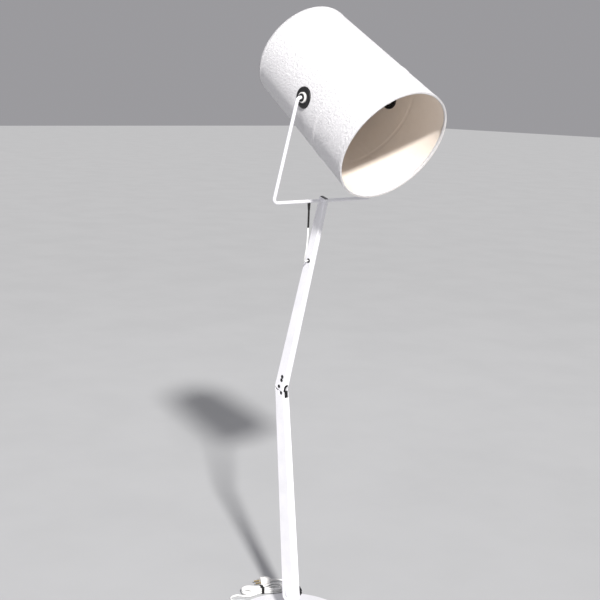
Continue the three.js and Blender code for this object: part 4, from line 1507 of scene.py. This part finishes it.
    def stitching(self) -> list[bpy.types.Object]:
        """Sews the rows of stitches, and returns them."""
        tree = stitch_tree(self.finishes["thread"])
        made = []
        rings = {
            "seam_stitches_1": self.seam + 1.6,
            "seam_stitches_2": self.seam + self.seam_width - 1.6,
            "mouth_stitches": self.mouth - 7.2,
            "back_stitches": self.back + 8.0,
        }
        for name, z in rings.items():
            ring = [self.on_cover(2 * math.pi * i / 240, z) for i in range(240)]
            made.append(tree.bake(outline_loop(f"{name}_line", ring, True), name, {}))
        for number, side in ((1, -3.2), (2, 3.2)):
            line = []
            for i in range(96):
                z = self.back + 10 + (self.mouth - self.back - 20) * i / 95
                angle = math.radians(self.long_seam) + side / self.radius_at(z)
                line.append(self.on_cover(angle, z))
            name = f"long_stitches_{number}"
            made.append(tree.bake(outline_loop(f"{name}_line", line, False), name, {}))
        return made

    def fitted_ring(
        self, name: str, outline: Sequence[Point], side: Side, finish: str
    ) -> bpy.types.Object:
        """Makes a ring round one pivot that follows the curve of the cover.

        Args:
            name: the piece's name.
            outline: (radius, height above the cover) points, closed.
            side: which pivot it is on.
            finish: its finish.

        Returns:
            The ring.
        """
        segments, points, faces = 96, [], []
        base = self.radius_at(0)
        for r, height in outline:
            for i in range(segments):
                angle = 2 * math.pi * i / segments
                x, z = r * math.cos(angle), r * math.sin(angle)
                follow = math.sqrt(self.radius_at(z) ** 2 - x * x) - base
                points.append((x, side.value * (base + height + follow), z))
        for row in range(len(outline)):
            up = (row + 1) % len(outline)
            for i in range(segments):
                j = (i + 1) % segments
                low, high = row * segments, up * segments
                face = (low + i, low + j, high + j, high + i)
                faces.append(face[::-1] if side is Side.FAR else face)
        made = make_object(name, points, faces, self.places.shade)
        dress(made, self.finishes[finish])
        return made

    def pivot_pieces(self, side: Side) -> None:
        """Makes the eyelet and the bush of one pivot."""
        word = side.name.lower()
        outer = [
            (31, 0.3), (31, 2.2), (29.6, 3.6), (26, 4.4), (21.5, 4.6), (17.6, 3.9), (self.bore, 1.8),
            (self.bore, -7), (19.9, -7), (19.9, 0.3), (31, 0.3),
        ]
        outline = rounded(outer, 1.0, 3)[:-1]
        eyelet = self.fitted_ring(f"eyelet_rim_{word}", outline, side, "black_plastic")
        attach(eyelet, "shade", (f"eyelet_outer_{word}",))
        inner = [
            (20.4, -1.6), (20.4, -3.6), (22, -4.6), (27, -4.4), (29, -3.2), (29, -1.6),
            (20.4, -1.6),
        ]
        outline = rounded(inner[::-1], 0.8, 3)[:-1]
        washer = self.fitted_ring(f"eyelet_washer_{word}", outline, side, "black_plastic")
        attach(washer, "shade", (f"eyelet_inner_{word}",))
        bush = [
            (5.5, 142), (9, 142), (9, 151.3), (15.2, 151.3), (15.2, 177), (11.5, 177), (11.2, 176.2),
            (5.5, 176.2), (5.5, 142),
        ]
        place = self.places.shade @ (FACING_FAR if side is Side.FAR else FACING_NEAR)
        made = lathe(f"pivot_hub_{word}", rounded(bush, 1.0, 3)[:-1], place, 64)
        dress(made, self.finishes["white_plastic"])
        attach(made, "shade", (f"pivot_bush_{word}",))

    def bulb(self) -> None:
        """Makes the opal bulb."""
        z0 = 26.9
        centre, radius = z0 + 29.5, 22.5
        ball = [
            (radius * math.cos(math.radians(a)), centre + radius * math.sin(math.radians(a)))
            for a in range(-28, 90, 6)
        ]
        outline = [(0, z0), (13, z0), (14, z0 + 6), (17, z0 + 13), *ball, (0, centre + radius)]
        made = lathe("bulb_globe", outline, self.places.shade, 64)
        dress(made, self.finishes["opal"])
        attach(made, "shade", ("bulb_glass",))

    def build(self) -> None:
        """Makes every piece of the shade that the CAD leaves plain."""
        cover = self.cover()
        stitches = self.stitching()
        mouth_hem = self.hem("mouth_hem", self.mouth, -1)
        back_hem = self.hem("back_hem", self.back, 1)
        disc = self.back_disc()
        attach(cover, "shade", ("shade_skin",))
        attach(mouth_hem, "shade", ("shade_hoop_mouth",))
        attach(back_hem, "shade", ("shade_hoop_back",))
        attach(disc, "shade", ("shade_back_panel",))
        for row in stitches:
            attach(row, "shade")
        for side in Side:
            self.pivot_pieces(side)
        self.bulb()
        slant = math.hypot(self.mouth - self.back, self.mouth_radius - self.back_radius) * MM
        area = math.pi * (self.mouth_radius + self.back_radius) * MM * slant
        round(2 * math.pi * self.mouth_radius * MM, 3)


# ---- The lamp ----------------------------------------------------------------------------------


SLOT_FINISHES = {"shade_board": "canvas", "bulb_opal": "opal"}


def dress_frame(frame: dict, finishes: Finishes) -> None:
    """Gives every CAD node the finish of its slot in the record."""
    for subpart in frame["record"]["subparts"]:
        node = frame["nodes"][subpart["node"]]
        slot = subpart["material_slot"]
        finish = finishes[SLOT_FINISHES.get(slot, slot)]
        dress(node, finish)
        LOG.info("%s is in %s", node.name, finish.name)


def main() -> None:
    """Loads the frame and builds the lamp's looks, the camera and the cord first."""
    logging.basicConfig(level=logging.INFO, format="%(name)s: %(message)s")
    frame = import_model()
    finishes = Finishes()
    places = Places.read(frame["record"])
    studio = Studio()
    studio.camera()
    dress_frame(frame, finishes)
    MainsCord(finishes).lay()
    Base(finishes, places).build()
    Knee(finishes, places).build()
    Fork(finishes, places).build()
    Shade(finishes, places).build()
    studio.floor()
    studio.lights()


if __name__ == "__main__":
    main()
